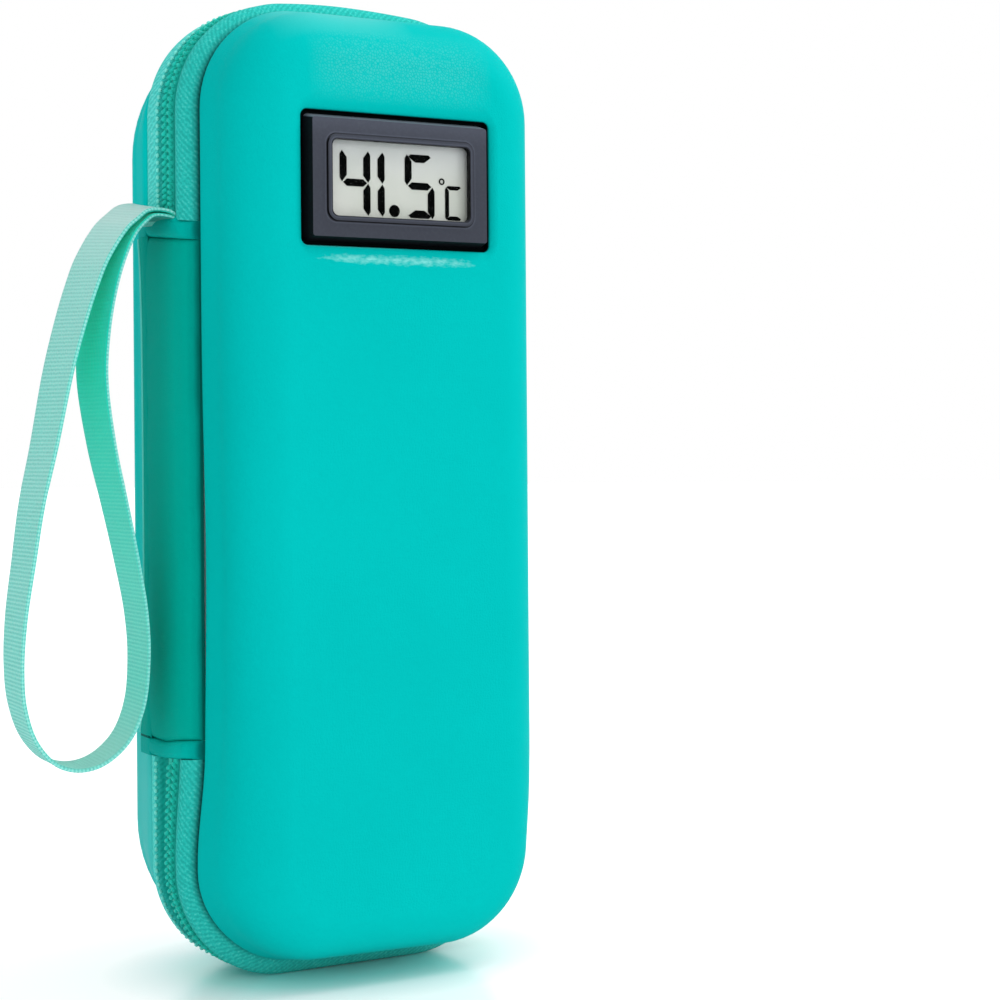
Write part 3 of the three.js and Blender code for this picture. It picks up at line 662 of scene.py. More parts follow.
def bezel(name):
    """Black frame, spark-eroded grey on its face: painted light on its top bevel, painted shade on its sides.
    """
    m = Nodes(name)
    _, depthwise, rise = m.normal()
    x, _, z = m.place()
    fine = m.noise(m.coords("Object"), 1400.0, 3.0)
    # Painted shade on the sides and painted light on the top bevel, by which way the surface faces
    face = depthwise.span(-0.6, -0.95, end=0.7)
    tone = face.larger(rise.span(0.45, 0.7)) + (fine - 0.5) * 0.12
    colours = m.ramp(tone, ((0.0, srgb(6, 9, 13)), (0.7, srgb(62, 66, 77)), (1.0, srgb(86, 94, 103))))
    # Painted light, stronger towards the frame's top
    colours = m.banded(colours, z - DISPLAY_Z, BEZEL_PAINTED_TOP_LIGHT)
    # Painted highlight and shade lines round the window's lip
    beside = (abs(x) - (LIP_HALF_W - LIP_CORNER)).larger(0.0)
    beyond = (abs(z - DISPLAY_Z) - (LIP_HALF_H - LIP_CORNER)).larger(0.0)
    from_lip = (beside ** 2.0 + beyond ** 2.0) ** 0.5 - LIP_CORNER
    return m.shaded(
        Base_Color=m.banded(colours, from_lip, LIP_PAINTED_LIGHT_SHADE), Roughness=0.5, Specular_IOR_Level=0.12,
        Normal=m.bump(fine, 0.1, 0.12),
    )


def lining(name, colour):
    """Insulating lining: a woven face with a sheen over small quilted lozenges."""
    m = Nodes(name)
    vector = m.coords("Object", turn=45.0)
    quilt = m.add("TexChecker", "Fac", Vector=vector, Scale=180.0)
    weave = m.noise(vector, 2400.0, 2.0)
    return m.shaded(
        Base_Color=m.toned(weave, colour, 0.88, 1.05), Roughness=0.42, Metallic=0.35,
        Normal=m.bump(quilt * 0.25 + weave, 0.25, 0.3),
    )


def clear(name):
    """Thin clear window: lets light straight through and mirrors a little at a slant."""
    m = Nodes(name)
    m.tree.nodes.remove(m.shader)
    haze = m.noise(m.coords("Object"), 60.0, 2.0)
    tint = m.ramp(haze, ((0.3, (0.95, 0.96, 0.95, 1)), (0.7, grey(1.0))))
    through = m.add("BsdfTransparent", "BSDF", Color=tint)
    gloss = m.add("BsdfGlossy", "BSDF", Roughness=0.06)
    return m.shown(m.add("MixShader", "Shader", m.add("Fresnel", "Fac", IOR=1.05), through, gloss))


def lcd(name):
    """Grey reflective display: a soft vertical change of tone and a very fine grain."""
    m = Nodes(name)
    height = m.place()[2].span(DISPLAY_Z - LCD_HALF_H, DISPLAY_Z + LCD_HALF_H)
    tone = height + m.noise(m.coords("Object"), 1800.0, 2.0) * 0.08
    stops = ((0.0, srgb(230, 233, 226)), (0.55, srgb(222, 225, 220)), (1.0, srgb(208, 213, 215)))
    return m.shaded(Base_Color=m.ramp(tone, stops), Roughness=0.35)


SKIN = leather("shell_leather", srgb(0, 200, 196), 0.5, 0.14, lid=True)
# The shell leather made lighter on the back half: painted light
BACK_SKIN = leather("back_shell_leather", srgb(0, 214, 209), 0.5, 0.14, painted_low_sheen=srgb(120, 224, 219))
SPINE = leather("spine_leather", srgb(0, 183, 168), 0.55, 0.18, spine=True)
CREASE = leather("crease_leather", srgb(0, 168, 156), 0.6, 0.18)
HEM_LEATHER = leather("hem_leather", srgb(0, 190, 180), 0.55, 0.18, spine=True)
# A pale copy of the spine leather: a painted highlight along the lap's edge
EDGE_HIGHLIGHT_LEATHER = leather("edge_highlight_leather", srgb(118, 234, 224), 0.55, 0.18)
FRONT_TWILL = twill("front_tape_twill", srgb(44, 200, 190), srgb(82, 212, 202), FRONT_TAPE_PAINTED_LIGHT_SHADE)
BACK_TWILL = twill("back_tape_twill", srgb(84, 228, 219), srgb(134, 236, 229), BACK_TAPE_PAINTED_LIGHT_SHADE)
THREAD = plastic("sewing_thread", srgb(136, 252, 240), 0.7, 0.1, level=0.05)
COIL = nylon("coil_nylon", srgb(40, 218, 200))
STRAP = webbing("strap_webbing", srgb(142, 255, 243), srgb(226, 255, 252), srgb(0, 248, 222))
BLACK = bezel("bezel_plastic")
DARK = plastic("inner_plastic", srgb(26, 27, 30), 0.55)
BOARD = plastic("board_mask", srgb(28, 92, 52), 0.4)
STEEL = plastic("cell_steel", srgb(196, 198, 200), 0.28, metallic=1.0)
METAL = plastic("slider_enamel", srgb(24, 168, 158), 0.34, metallic=0.15)
PACK = plastic("pack_plastic", srgb(2, 88, 206), 0.4, 0.05, scale=500.0, bump=0.08)
ELASTIC = webbing("band_elastic", srgb(38, 40, 46), srgb(72, 76, 84))
LINING = lining("insulating_lining", srgb(196, 202, 204))
WINDOW = clear("clear_window")
LCD = lcd("lcd_grey")
INK = plastic("segment_ink", srgb(3, 4, 4), 0.7, 0.02, level=0.02)


# Pieces

def dress(obj, material):
    obj.data.materials.clear()
    obj.data.materials.append(material)
    return obj


def piece(name, shape, body, material, slot, *replaced, angle=60.0):
    """An object that rides on a body, in place of the solids that it replaces."""
    obj = dress(make_object(name, shape, angle), material)
    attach(obj, body)
    if replaced:
        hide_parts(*replaced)
    return obj


def bending_piece(name, shape, bodies, ends, material, slot, *replaced):
    """An object in place of the solids that it replaces, its transform baked into its mesh."""
    obj = dress(make_object(name, shape, 60.0), material)
    if replaced:
        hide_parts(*replaced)
    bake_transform(obj)


# Moulded halves

RIM_EASE = 0.45
ROLLED_EDGE = ((3.2, 0.2), (0.75, 0.25), (0.3, 0.5), (0.08, 0.95))
ROLL_TOP, RIM_GAP = 1.5, 0.2
# The lid's opening as (width, height, corner radius, depth): its dished recess, then the steps of its cut-out
RECESS_RIM = np.array((54.4, 40.0, 8.5, 0.0))
RECESS_LOW = np.array((50.2, 30.8, 2.0, 0.85))
CUT_STEPS = (
    (49.7, 30.4, 1.6, 1.15), (49.2, 29.9, 1.2, 1.6), (49.0, 29.7, 1.0, 2.4), (46.2, 26.8, 0.6, 2.4),
    (46.2, 26.8, 0.6, WALL),
)
BACK_MIDDLE = (12.0, 150.0, 4.0)


def shell_rings(side, rim, depth, edge, ease, steps):
    """Outlines from the rolled edge at the seam up the wall and over to the flat face."""
    start = ease * RIM_EASE
    rings = [(rim + inset, y, start) for inset, y in ROLLED_EDGE]
    high = depth - edge - SEAM
    for t in np.linspace(0.0, 1.0, 6):
        rings.append((rim + DRAFT * t, ROLL_TOP + (high - ROLL_TOP) * t, start + (ease - start) * t))
    for a in np.linspace(0.0, math.pi / 2, steps + 1)[1:]:
        rings.append((rim + DRAFT + edge * (1 - math.cos(a)), depth - SEAM - edge * (1 - math.sin(a)), ease))
    return [at_depth(case_outline(inset, e), side * (SEAM + y)) for inset, y, e in rings]


def inner_rings(side, rim, depth, edge, ease):
    """The inside of the wall, from the face's middle out to the rim."""
    radius = edge - WALL
    rings = []
    for a in np.linspace(math.pi / 2, 0.0, 7):
        inset = rim + WALL + DRAFT + radius * (1 - math.cos(a))
        rings.append((inset, depth - WALL - radius * (1 - math.sin(a)), ease))
    rings.append((rim + WALL, SEAM + RIM_GAP, RIM_EASE * ease))
    return [at_depth(case_outline(inset, e), side * y) for inset, y, e in rings]


def between(a, b, steps):
    """Rings evenly spaced between two rings."""
    return [a + (b - a) * i / steps for i in range(1, steps)]


def front_shell():
    """The lid: its face sinks softly round the display, then drops into a narrow groove beside the bezel."""
    outer = [drift(ring) for ring in shell_rings(-1, FRONT_RIM, FRONT_DEPTH, FRONT_EDGE, 0.0, 20)]
    outer[1:] = [raised(ring) for ring in outer[1:]]

    def opening(width, height, radius, depth):
        return at_depth(rounded(width, height, radius, (0, DISPLAY_Z)), depth - FRONT_DEPTH)

    dip = np.linspace(0.0, 1.0, 11)
    sizes = [RECESS_RIM + (RECESS_LOW - RECESS_RIM) * (t, t, t, t * t) for t in dip]
    rings = [opening(*size) for size in (*sizes, *CUT_STEPS)]
    inner = inner_rings(-1, FRONT_RIM, FRONT_DEPTH, FRONT_EDGE, 0.0)
    return loft(outer + between(outer[-1], rings[0], 4) + rings + inner, wrap=True)


def back_shell():
    """The back half, closed by a flat face outside and inside."""
    outer = shell_rings(1, BACK_RIM, BACK_DEPTH, BACK_EDGE, BACK_EASE, 16)
    inner = inner_rings(1, BACK_RIM, BACK_DEPTH, BACK_EDGE, BACK_EASE)
    middle = rounded(*BACK_MIDDLE, (0, CENTRE_Z))
    face, floor = at_depth(middle, BACK_DEPTH), at_depth(middle, BACK_DEPTH - WALL)
    rings = [face] + between(face, outer[-1], 3) + outer[::-1]
    return loft(rings + inner[::-1] + between(inner[0], floor, 3) + [floor])


piece("front_shell_skin", front_shell(), "lid", SKIN, "shell_skin", "front_shell", angle=40.0)
piece("back_shell_skin", back_shell(), "base", BACK_SKIN, "shell_skin", "back_shell", angle=40.0)


# Zipper tapes and coil: a tape's and a rail's outer line as (depth from the coil's middle, inset)

FRONT_TAPE = (
    (0.08, 1.8), (2.5, 1.8), (2.9, 1.95), (3.3, 1.6), (3.9, 1.1), (4.8, 0.75), (5.8, 0.65), (6.8, 0.78),
    (7.8, 1.15), (8.6, 1.75), (9.3, 2.55), (9.9, 3.5), (10.3, 4.5), (10.6, 5.1), (11.66, 5.3),
)
BACK_TAPE = (
    (0.08, 1.8), (2.5, 1.9), (2.9, 2.3), (3.6, 2.45), (5.4, 2.45), (6.0, 2.2), (6.4, 1.6), (6.9, 1.1),
    (7.6, 0.88), (8.6, 0.85), (10.4, 0.95), (11.1, 1.2), (11.66, 1.9),
)
COIL_RAIL = ((0.06, 1.15), (2.1, 1.15), (2.35, 1.4), (2.35, 1.85), (0.06, 1.85))
TAPE_T = 0.8
ZIP_PITCH = 1.7
LOOP_LENGTH, LOOP_RADIUS, LOOP_SWELL, LOOP_SLANT = 2.0, 0.56, 1.05, 0.3
LOOP_ROOT_Y, LOOP_INSET, FIRST_LOOP = 2.4, 1.0, 2.9
STITCH_LENGTH, STITCH_RADIUS, STITCH_FLAT, STITCH_MIDDLE = 1.05, 0.5, 0.9, 0.52
STITCH_Y, STITCH_INSET, FIRST_STITCH = 7.1, 0.75, 2.4


def belt_strip(section, step):
    """A closed strip along the belt, with its map."""
    along = np.linspace(0.0, BELT, int(BELT / step) + 1)
    return (*loft([belt_points(d, section) for d in along]), strip_map(along, section))


def tape(side, line):
    """A woven strip from under the coil out to the shell's rim."""
    outer = np.array(line)
    section = np.vstack([outer, outer[::-1] + (0.0, TAPE_T)])
    return belt_strip(section * (side, 1.0), 1.6)


def rounded_bar(length, radius, around=10, caps=3):
    """A bar with round ends along +Y from 0 to length."""
    turn = [math.pi / 2 * (i + 0.4) / caps for i in range(caps)]
    ends = [(radius * (1 - math.cos(a)), radius * math.sin(a)) for a in turn]
    profile = ends + [(length - y, r) for y, r in reversed(ends)]
    return loft([at_depth(r * circle(around), y) for y, r in profile])


def beside_belt(distance, along, out, y, depth):
    """Points by how far along and out of a place on the belt they lie, moved as the belt is at a depth."""
    point, heading, normal = belt_frame(distance)
    flat = point + np.outer(along, heading) + np.outer(out, normal)
    return drift(np.column_stack([flat[:, 0], y, flat[:, 1] + end_shift(distance, depth)]))


def coil(side):
    """Half of the closed coil: a low rail with one rounded loop per pitch, the two halves staggered."""
    bar, bar_faces = rounded_bar(LOOP_LENGTH, LOOP_RADIUS)
    parts = [belt_strip(np.array(COIL_RAIL) * (side, 1.0), 2.0)[:2]]
    along = bar[:, 0] * LOOP_SWELL + (bar[:, 1] - LOOP_LENGTH / 2) * LOOP_SLANT
    stagger = 0.5 if side > 0 else 0.0
    for d in np.arange(FIRST_LOOP + stagger * ZIP_PITCH, BELT - 0.8, ZIP_PITCH):
        out = bar[:, 2] * LOOP_SWELL - LOOP_INSET + belt_lift(d)
        parts.append((beside_belt(d, along, out, side * (LOOP_ROOT_Y - bar[:, 1]), 0.0), bar_faces))
    verts, faces = joined(parts)
    verts[:, 2] = np.maximum(verts[:, 2], 0.0)
    return verts, faces


def stitch_row():
    """The sewing along the raised edge of the back tape, one short stitch per pitch."""
    bar, bar_faces = rounded_bar(STITCH_LENGTH, STITCH_RADIUS, 8, 2)
    parts = []
    for d in np.arange(FIRST_STITCH, BELT - 0.9, ZIP_PITCH):
        y = STITCH_Y + ridge_shift(d)
        out = bar[:, 2] * STITCH_FLAT - STITCH_INSET + belt_lift(d) * (1 - (y / SEAM) ** 3)
        parts.append((beside_belt(d, bar[:, 1] - STITCH_MIDDLE, out, y + bar[:, 0], y), bar_faces))
    return joined(parts)


piece("back_tape_stitches", stitch_row(), "base", THREAD, "zip_tape", angle=70.0)
for side, word, body, line, cloth in (
    (-1, "front", "lid", FRONT_TAPE, FRONT_TWILL),
    (1, "back", "base", BACK_TAPE, BACK_TWILL),
):
    piece(f"{word}_tape_cloth", tape(side, line), body, cloth, "zip_tape", f"{word}_zip_tape")
    piece(f"{word}_coil_loops", coil(side), body, COIL, "zip_coil", f"{word}_zip_coil", angle=70.0)


# Spine: a padded strip between the halves with a folded hem at each end, lapped on to the back half
# Its lines are (depth, inset), and the low fold's bow is (depth, rise)

SPINE_LINE = (
    (-11.66, 5.2), (-10.7, 5.0), (-10.45, 4.3), (-10.1, 3.4), (-9.5, 2.65), (-8.4, 2.0), (-6.2, 1.3),
    (-3.2, 0.8), (0.0, 0.55), (3.2, 0.45), (6.2, 0.45), (9.0, 0.55), (11.3, 0.72),
)
HEM_LINE = (
    (-11.66, 5.2), (-10.9, 4.6), (-10.6, 3.6), (-10.1, 2.6), (-9.2, 1.7), (-7.8, 0.95), (-6.0, 0.45),
    (-3.0, 0.2), (0.0, 0.12), (3.2, 0.12), (6.2, 0.18), (9.0, 0.32), (11.3, 0.55),
)
LOW_BOW = ((-11, 0.2), (-6, -0.3), (-2, -0.7), (2, -1.3), (5, -1.45), (10, -1.25), (16, -0.9))
LAP_START, LAP_MIDDLE, LAP_END, TOP_FLARE, LOW_FLARE = 11.3, 12.5, 14.3, 2.8, 4.2
LAP_STANDS, LAP_SINKS, LAP_PINCH, LAP_TURN = 0.38, 0.75, 0.05, (0.1, 0.45)
SPINE_FLOOR, LINING_INSET = 3.8, 3.84
FOLD_GAP, FOLD_REACH = 0.02, 0.3
PAD_LENGTH = TOP_FOLD - LOW_FOLD
SPINE_YS = np.concatenate([
    (-11.66, -10.9, -10.7, -10.45, -10.25, -10.1, -9.8, -9.5, -9.0), np.linspace(-8.4, LAP_START, 26),
])


def on_line(y, line):
    """A line's second number at the depth y."""
    return np.interp(y, *np.transpose(line))


def top_fold(y):
    return top_slant(y) - HEM


def low_fold(y):
    """The bottom hem's fold sags in its middle."""
    return LOW_FOLD + on_line(y, LOW_BOW)


def pad_inset(ys, z):
    """The padding's line with soft waves, strongest beside the front seam."""
    near = share(ys, -4.0, -11.0)
    waves = near * (0.16 * np.sin(z * 0.21 + 0.6) + 0.1 * np.sin(z * 0.55))
    return on_line(ys, SPINE_LINE) + waves + 0.05 * np.sin(z * 0.33 + ys * 0.2)


def hem_inset(ys, z):
    return on_line(ys, HEM_LINE)


def spine_sheet(low, high, levels, inset):
    """A closed sheet over the spine's depths, between two edge lines, with a press at each level."""
    ys = SPINE_YS
    limit = np.repeat((LINING_INSET - 0.09, LINING_INSET - 0.04), len(ys)) - HALF_W
    rings = []
    for level, press in levels:
        z = low(ys) + (high(ys) - low(ys)) * level
        dip = np.minimum(inset(ys, z) + press, SPINE_FLOOR - 0.05)
        outer = np.column_stack([dip - HALF_W, ys, z])
        back = np.column_stack([np.full(len(ys), SPINE_FLOOR - HALF_W), ys, z])
        ring = drift(np.vstack([outer, back[::-1]]))
        ring[:, 0] = np.minimum(ring[:, 0], limit)
        rings.append(ring)
    return loft(rings)


def end_levels(length, count, tuck, draw, reach):
    """Levels from 0 to 1 over a length, each with its press, dipping into the folds at both ends."""
    near = np.concatenate([np.array((0.0, 0.1, 0.3, 0.7)) / length, np.linspace(1.4 / length, 0.5, count)])
    press = tuck * np.exp(-near * length / FOLD_REACH) + draw * np.exp(-near * length / reach)
    levels = list(zip(near, press))
    return levels + [(1.0 - level, dip) for level, dip in reversed(levels[:-1])]


def lap_edge(z):
    """Depth of the lap's sewn edge on the back half, widest at the two hems."""
    from_top, from_low = max(TOP_FOLD + 2.4 - z, 0.0), max(z - LOW_FOLD, 0.0)
    return LAP_END + TOP_FLARE * math.exp(-from_top / 11.0) + LOW_FLARE * math.exp(-from_low / 9.0)


def lap_levels(low, high, step=1.2):
    """Heights over a length, close together near its two ends."""
    ends = np.array((0.0, 0.12, 0.3, 0.6, 1.0))
    middle = np.linspace(low + 1.6, high - 1.6, max(int((high - low - 3.2) / step), 2))
    return np.concatenate([low + ends, middle, high - ends[::-1]])


def lap_wall(y):
    """Inset of the back half's wall at a depth."""
    return BACK_RIM + DRAFT * share(y, SEAM, BACK_DEPTH - BACK_EDGE)


def lap(low, high, start, draw):
    """Leather that laps from the spine on to the back half's wall, following its slope."""
    rings = []
    for z in lap_levels(low, high):
        edge = lap_edge(z)
        ys = np.concatenate([np.linspace(LAP_START - 0.05, edge - 0.5, 8), (edge - 0.15, edge)])
        wall = lap_wall(ys)
        end = min(z - low, high - z)
        outer = start + (wall - LAP_STANDS - start) * eased(ys, LAP_START, LAP_START + 2.0)
        outer += LAP_PINCH * math.exp(-end / FOLD_REACH)
        outer += draw * math.exp(-end / 4.0) * (1 - eased(ys, LAP_START, LAP_START + 2.5))
        outer[-2:] += LAP_TURN
        line = np.column_stack([outer - HALF_W, ys])
        back = np.column_stack([wall + LAP_SINKS - HALF_W, ys])
        rings.append(at_height(np.vstack([line, back[::-1]]), z))
    return loft(rings)


def edge_bead(low, high, radius=0.42):
    """The lap's turned edge, a thin raised line."""
    rings = []
    for z in np.linspace(low, high, 70):
        y = lap_edge(z)
        centre = (lap_wall(y) - 0.22 - HALF_W, y - 0.05)
        rings.append(at_height(centre + radius * circle(8), z))
    return loft(rings)


def crease(ends, depth):
    """A narrow strip of the spine's leather along a hinge line, from one (x, y) end to the other."""
    line = np.linspace(*ends, 13)
    outline = np.vstack([line, line[::-1] + depth])
    return loft([drift(at_height(outline, z)) for z in np.linspace(SPINE_LOW + 0.6, SPINE_HIGH - 0.6, 40)])


pad = piece("spine_pad", spine_sheet(
    lambda y: low_fold(y) + FOLD_GAP, lambda y: top_fold(y) - FOLD_GAP,
    end_levels(PAD_LENGTH, 34, 1.0, 0.35, 4.0), pad_inset), "spine", SPINE, "spine_leather", "spine_panel")
for word, low, high in (
    ("top", lambda y: top_fold(y) + FOLD_GAP, top_end),
    ("bottom", low_end, lambda y: low_fold(y) - FOLD_GAP),
):
    sheet = spine_sheet(low, high, end_levels(HEM, 5, 0.9, 0.25, 0.8), hem_inset)
    piece(f"{word}_hem_fold", sheet, "spine", HEM_LEATHER, "spine_leather", f"spine_hem_{word}")

LAP_TOP, LAP_LOW = float(top_fold(LAP_MIDDLE)), float(low_fold(LAP_MIDDLE))
for name, low, high, start, draw, skin in (
    ("spine_lap", LAP_LOW + FOLD_GAP, LAP_TOP - FOLD_GAP, 0.72, 0.35, SPINE),
    ("top_hem_lap", LAP_TOP + FOLD_GAP, float(top_end(LAP_MIDDLE)), 0.56, 0.1, HEM_LEATHER),
    ("bottom_hem_lap", float(low_end(LAP_MIDDLE)), LAP_LOW - FOLD_GAP, 0.56, 0.1, HEM_LEATHER),
):
    piece(name, lap(low, high, start, draw), "base", skin, "spine_leather")
# The lap's raised edge, made pale as a painted highlight
piece("spine_lap_edge", edge_bead(LAP_LOW + 0.5, LAP_TOP - 0.3), "base", EDGE_HIGHLIGHT_LEATHER, "spine_leather")

CREASE_T = 0.06
for word, bodies, ends, depth in (
    ("front", ("lid", "spine"), ((6.9, -11.62), (3.95, -11.62)), (0.0, CREASE_T)),
    ("back", ("spine", "base"), ((0.95, 10.9), (0.95, 11.65)), (CREASE_T, 0.0)),
):
    ends = np.array(ends) - (HALF_W, 0.0)
    bend = [(x, y, CENTRE_Z) for x, y in ends]
    bending_piece(f"{word}_hinge_crease", crease(ends, depth), bodies, bend, CREASE, "spine_leather")


# Wrist strap: the route's points are (out from the root, down from the root), as in the part's source

STRAP_ROOT = np.array((-HALF_W - FIT - 1.5 * STRAP_T, SPINE_HIGH + FIT + 1.5 * STRAP_T))
STRAP_DROP = 124.2
STRAP_BEND = (0.6, 9.5)
ROOT_TWIST, ARCH_TWIST, LOW_TWIST = 6.0, 8.5, -10.0
OUTER_PLY = (
    (-3.2, 0.7), (-2.6, -0.4), (-1.6, -1.45), (-0.5, -2.1), (0.9, -2.4), (3.2, -2.25), (5.0, -1.6),
    (7.1, 0.1), (9.2, 1.9), (11.2, 4.4), (12.9, 7.0), (15.0, 10.8), (16.7, 15.0), (19.1, 21.9), (22.7, 34.6),
    (26.5, 52.5), (29.4, 65), (31.4, 77.6), (33.3, 90.4), (33.9, 101), (33.2, 109.5), (30.5, 117.2),
    (25.8, 122.4), (20.3, STRAP_DROP), (14.5, 123.2),
)
INNER_PLY = (
    (8.5, 118.6), (5, 111.2), (3.8, 100.3), (4.4, 90.2), (6.6, 78.3), (9.5, 65.2), (12.5, 52.4), (14.7, 37),
    (14.2, 26.2), (12.6, 16.8), (10.5, 9.6), (8.0, 4.0), (6.3, 1.8), (4.9, 0.45), (3.3, -0.7), (1.4, -1.15),
    (-0.4, -0.95), (-1.6, -0.4), (-2.3, 0.5), (-2.6, 1.5),
)


def mix(pair, t, start, end):
    """The point of a pair's line for a time t, the first one at the start and the second at the end."""
    return pair[0] + (pair[1] - pair[0]) * (t - start) / (end - start)


def smooth_route(points, per_span):
    """A curve through the points, its speed kept even by the roots of their distances."""
    p = np.array(points, float)
    p = np.vstack([2 * p[0] - p[1], p, 2 * p[-1] - p[-2]])
    route = []
    for i in range(len(p) - 3):
        four = p[i:i + 4]
        times = np.concatenate([[0.0], np.cumsum(np.sqrt(np.linalg.norm(np.diff(four, axis=0), axis=1)))])
        for t in np.linspace(times[1], times[2], per_span, endpoint=False):
            first = [mix(four[k:k + 2], t, times[k], times[k + 1]) for k in range(3)]
            second = [mix(first[k:k + 2], t, times[k], times[k + 2]) for k in range(2)]
            route.append(mix(second, t, times[1], times[2]))
    return np.array(route + [p[-2]])


def ribbon_section(width, thick):
    """A flat woven band as (across, up), with soft edges and slightly thicker selvedges."""
    half, t = width / 2, thick / 2
    across = np.linspace(0.35 - half, half - 0.35, 13)
    top = np.column_stack([across, t * (0.82 + 0.18 * eased(np.abs(across), half - 1.6, half - 0.8))])
    right = np.array([(half - 0.08, t * 0.6), (half, 0.0), (half - 0.08, -t * 0.6)])
    return np.vstack([top, right, top[::-1] * (1, -1), right * (-1, 1)])


def strap():
    """The loop of webbing, turned a little about its own length from its root to its low end."""
    line = STRAP_ROOT - smooth_route(OUTER_PLY + INNER_PLY, 8)
    section = ribbon_section(STRAP_W, STRAP_T)
    rings = []
    for at, along in zip(line, headings(line)):
        out, down = STRAP_ROOT - at
        drop = float(share(down, 0.0, STRAP_DROP))
        free_twist = ARCH_TWIST + (LOW_TWIST - ARCH_TWIST) * drop
        twist = math.radians(ROOT_TWIST + (free_twist - ROOT_TWIST) * float(eased(out, -3.0, 0.5)))
        root = 1.0 - float(eased(drop, 0.2, 0.5))
        lean = math.sin(twist)
        across = np.array((
            -lean * (1.0 - root * (1.0 - abs(along[1]))),
            math.cos(twist),
            lean * root * abs(along[0]),
        ))
        across /= np.linalg.norm(across)
        up = np.cross((along[0], 0.0, along[1]), across)
        up /= np.linalg.norm(up)
        centre = np.array((at[0], STRAP_Y, at[1]))
        rings.append(centre + np.outer(section[:, 0], across) + np.outer(section[:, 1], up))
    return (*loft(rings), strip_map(run_lengths(line), section))


bend = [(STRAP_ROOT[0] - out, STRAP_Y, STRAP_ROOT[1]) for out in STRAP_BEND]
bending_piece("strap_loop", strap(), ("spine", "strap"), bend, STRAP, "strap_webbing", "wrist_strap")


# Thermometer: the bezel's own solid stays, and the glass gets its segments

INK_FRONT, INK_BACK = -29.43, -29.38
FIGURE_W, STROKE = 7.95, 1.82
FIGURE_LOW, FIGURE_MID, FIGURE_TOP = 174.45, 181.8, 189.05
SEGMENT_GAP = 0.12


def inked(outline):
    """A display segment as a thin plate."""
    outline = np.array(outline, float)
    return loft([at_depth(outline, INK_FRONT), at_depth(outline, INK_BACK)])


def upright(x0, x1, z0, z1, outer):
    """A segment that stands, its points nearer its outer side: -1 for the left, 1 for the right."""
    w = x1 - x0
    a, b = (x0, x1) if outer < 0 else (x1, x0)
    tip = a - outer * 0.32 * w
    return inked((
        (a, z0 + 0.5 * w), (a, z1 - 0.5 * w), (tip, z1), (b, z1 - 0.85 * w), (b, z0 + 0.85 * w), (tip, z0),
    ))


def level(x0, x1, z0, z1, lean=0.0):
    """A segment that lies, its points above its middle for a lean over 0, below it for one under 0."""
    h = z1 - z0
    m = (z0 + z1) / 2 + lean * 0.18 * h
    up, down = (0.34, 1.0) if lean > 0 else ((1.0, 0.34) if lean < 0 else (0.62, 0.62))
    return inked((
        (x0, m), (x0 + up * h, z1), (x1 - up * h, z1), (x1, m), (x1 - down * h, z0), (x0 + down * h, z0),
    ))


def dot(x, z, radius):
    return inked(radius * circle(20) + (x, z))


def ring(x, z, radius, hole):
    corners = ((radius, INK_FRONT), (radius, INK_BACK), (hole, INK_BACK), (hole, INK_FRONT))
    return loft([at_depth(r * circle(20) + (x, z), y) for r, y in corners], wrap=True)


def figure(x, segments):
    """A seven-segment figure whose left side is at x, lit by the segments' letters."""
    low, mid, top, right = FIGURE_LOW, FIGURE_MID, FIGURE_TOP, x + FIGURE_W
    upper, lower = (mid + SEGMENT_GAP, top - 0.05), (low, mid - SEGMENT_GAP)
    shapes = {
        "a": level(x + 0.95, right - 0.95, top - STROKE, top, 1.0),
        "b": upright(right - STROKE, right, *upper, 1),
        "c": upright(right - STROKE, right, *lower, 1),
        "d": level(x + 0.95, right - 0.95, low, low + STROKE, -1.0),
        "f": upright(x, x + STROKE, *upper, -1),
        "g": level(x + 0.85, right - 0.85, mid - 0.84, mid + 0.84),
    }
    return [shapes[letter] for letter in segments]


def reading():
    """A generic temperature: three figures, a point, and the sign for degrees Celsius."""
    figures = figure(-14.93, "fgbc") + figure(-11.18, "bc") + figure(2.12, "afgcd")
    sign = [
        ring(12.05, 183.2, 0.78, 0.42),
        level(13.35, 17.25, 181.35, 182.3, 0.6),
        upright(12.95, 14.0, 174.5, 182.0, -1),
        level(13.35, 17.25, 174.35, 175.3, -0.6),
    ]
    return joined(figures + [dot(-0.67, 175.85, 1.4)] + sign)


piece("display_segments", reading(), "lid", INK, "lcd_glass", angle=30.0)


# Cooling packs and bands: a band's half path is (x, height over the lining)

BAND_PATH = (
    (26.4, 0.6), (24.2, 0.7), (23.2, 1.6), (22.9, 4.5), (22.9, 9.5), (22.4, 12.0), (20.9, 14.2), (18.6, 15.1),
    (9.0, 15.2), (0.0, 15.25),
)


def pack(side, depth):
    """A flat bottle with well rounded edges on the lining."""
    floor = side * (depth - LINED_WALL)
    rings = []
    for a in np.linspace(-math.pi / 2, math.pi / 2, 25):
        inset = PACK_EDGE * (1 - math.cos(a))
        outline = rounded(PACK_W - 2 * inset, PACK_H - 2 * inset, PACK_CORNER - inset, (0, PACK_Z))
        rings.append(at_depth(outline, floor - side * PACK_T / 2 * (1 + math.sin(a))))
    return loft(rings)


def band(side, depth):
    """Elastic band over a pack, flat at its sewn feet, its edges a little rolled."""
    floor = side * (depth - LINED_WALL)
    line = np.array(BAND_PATH + tuple((-x, d) for x, d in reversed(BAND_PATH[:-1])))
    section = ribbon_section(BAND_W, BAND_T)
    rings = []
    for at, along in zip(line, headings(line)):
        x, d = (at + np.outer(section[:, 1], (-along[1], along[0]))).T
        rings.append(np.column_stack([x, floor - side * d, PACK_Z + section[:, 0]]))
    return (*loft(rings), strip_map(run_lengths(line), section))


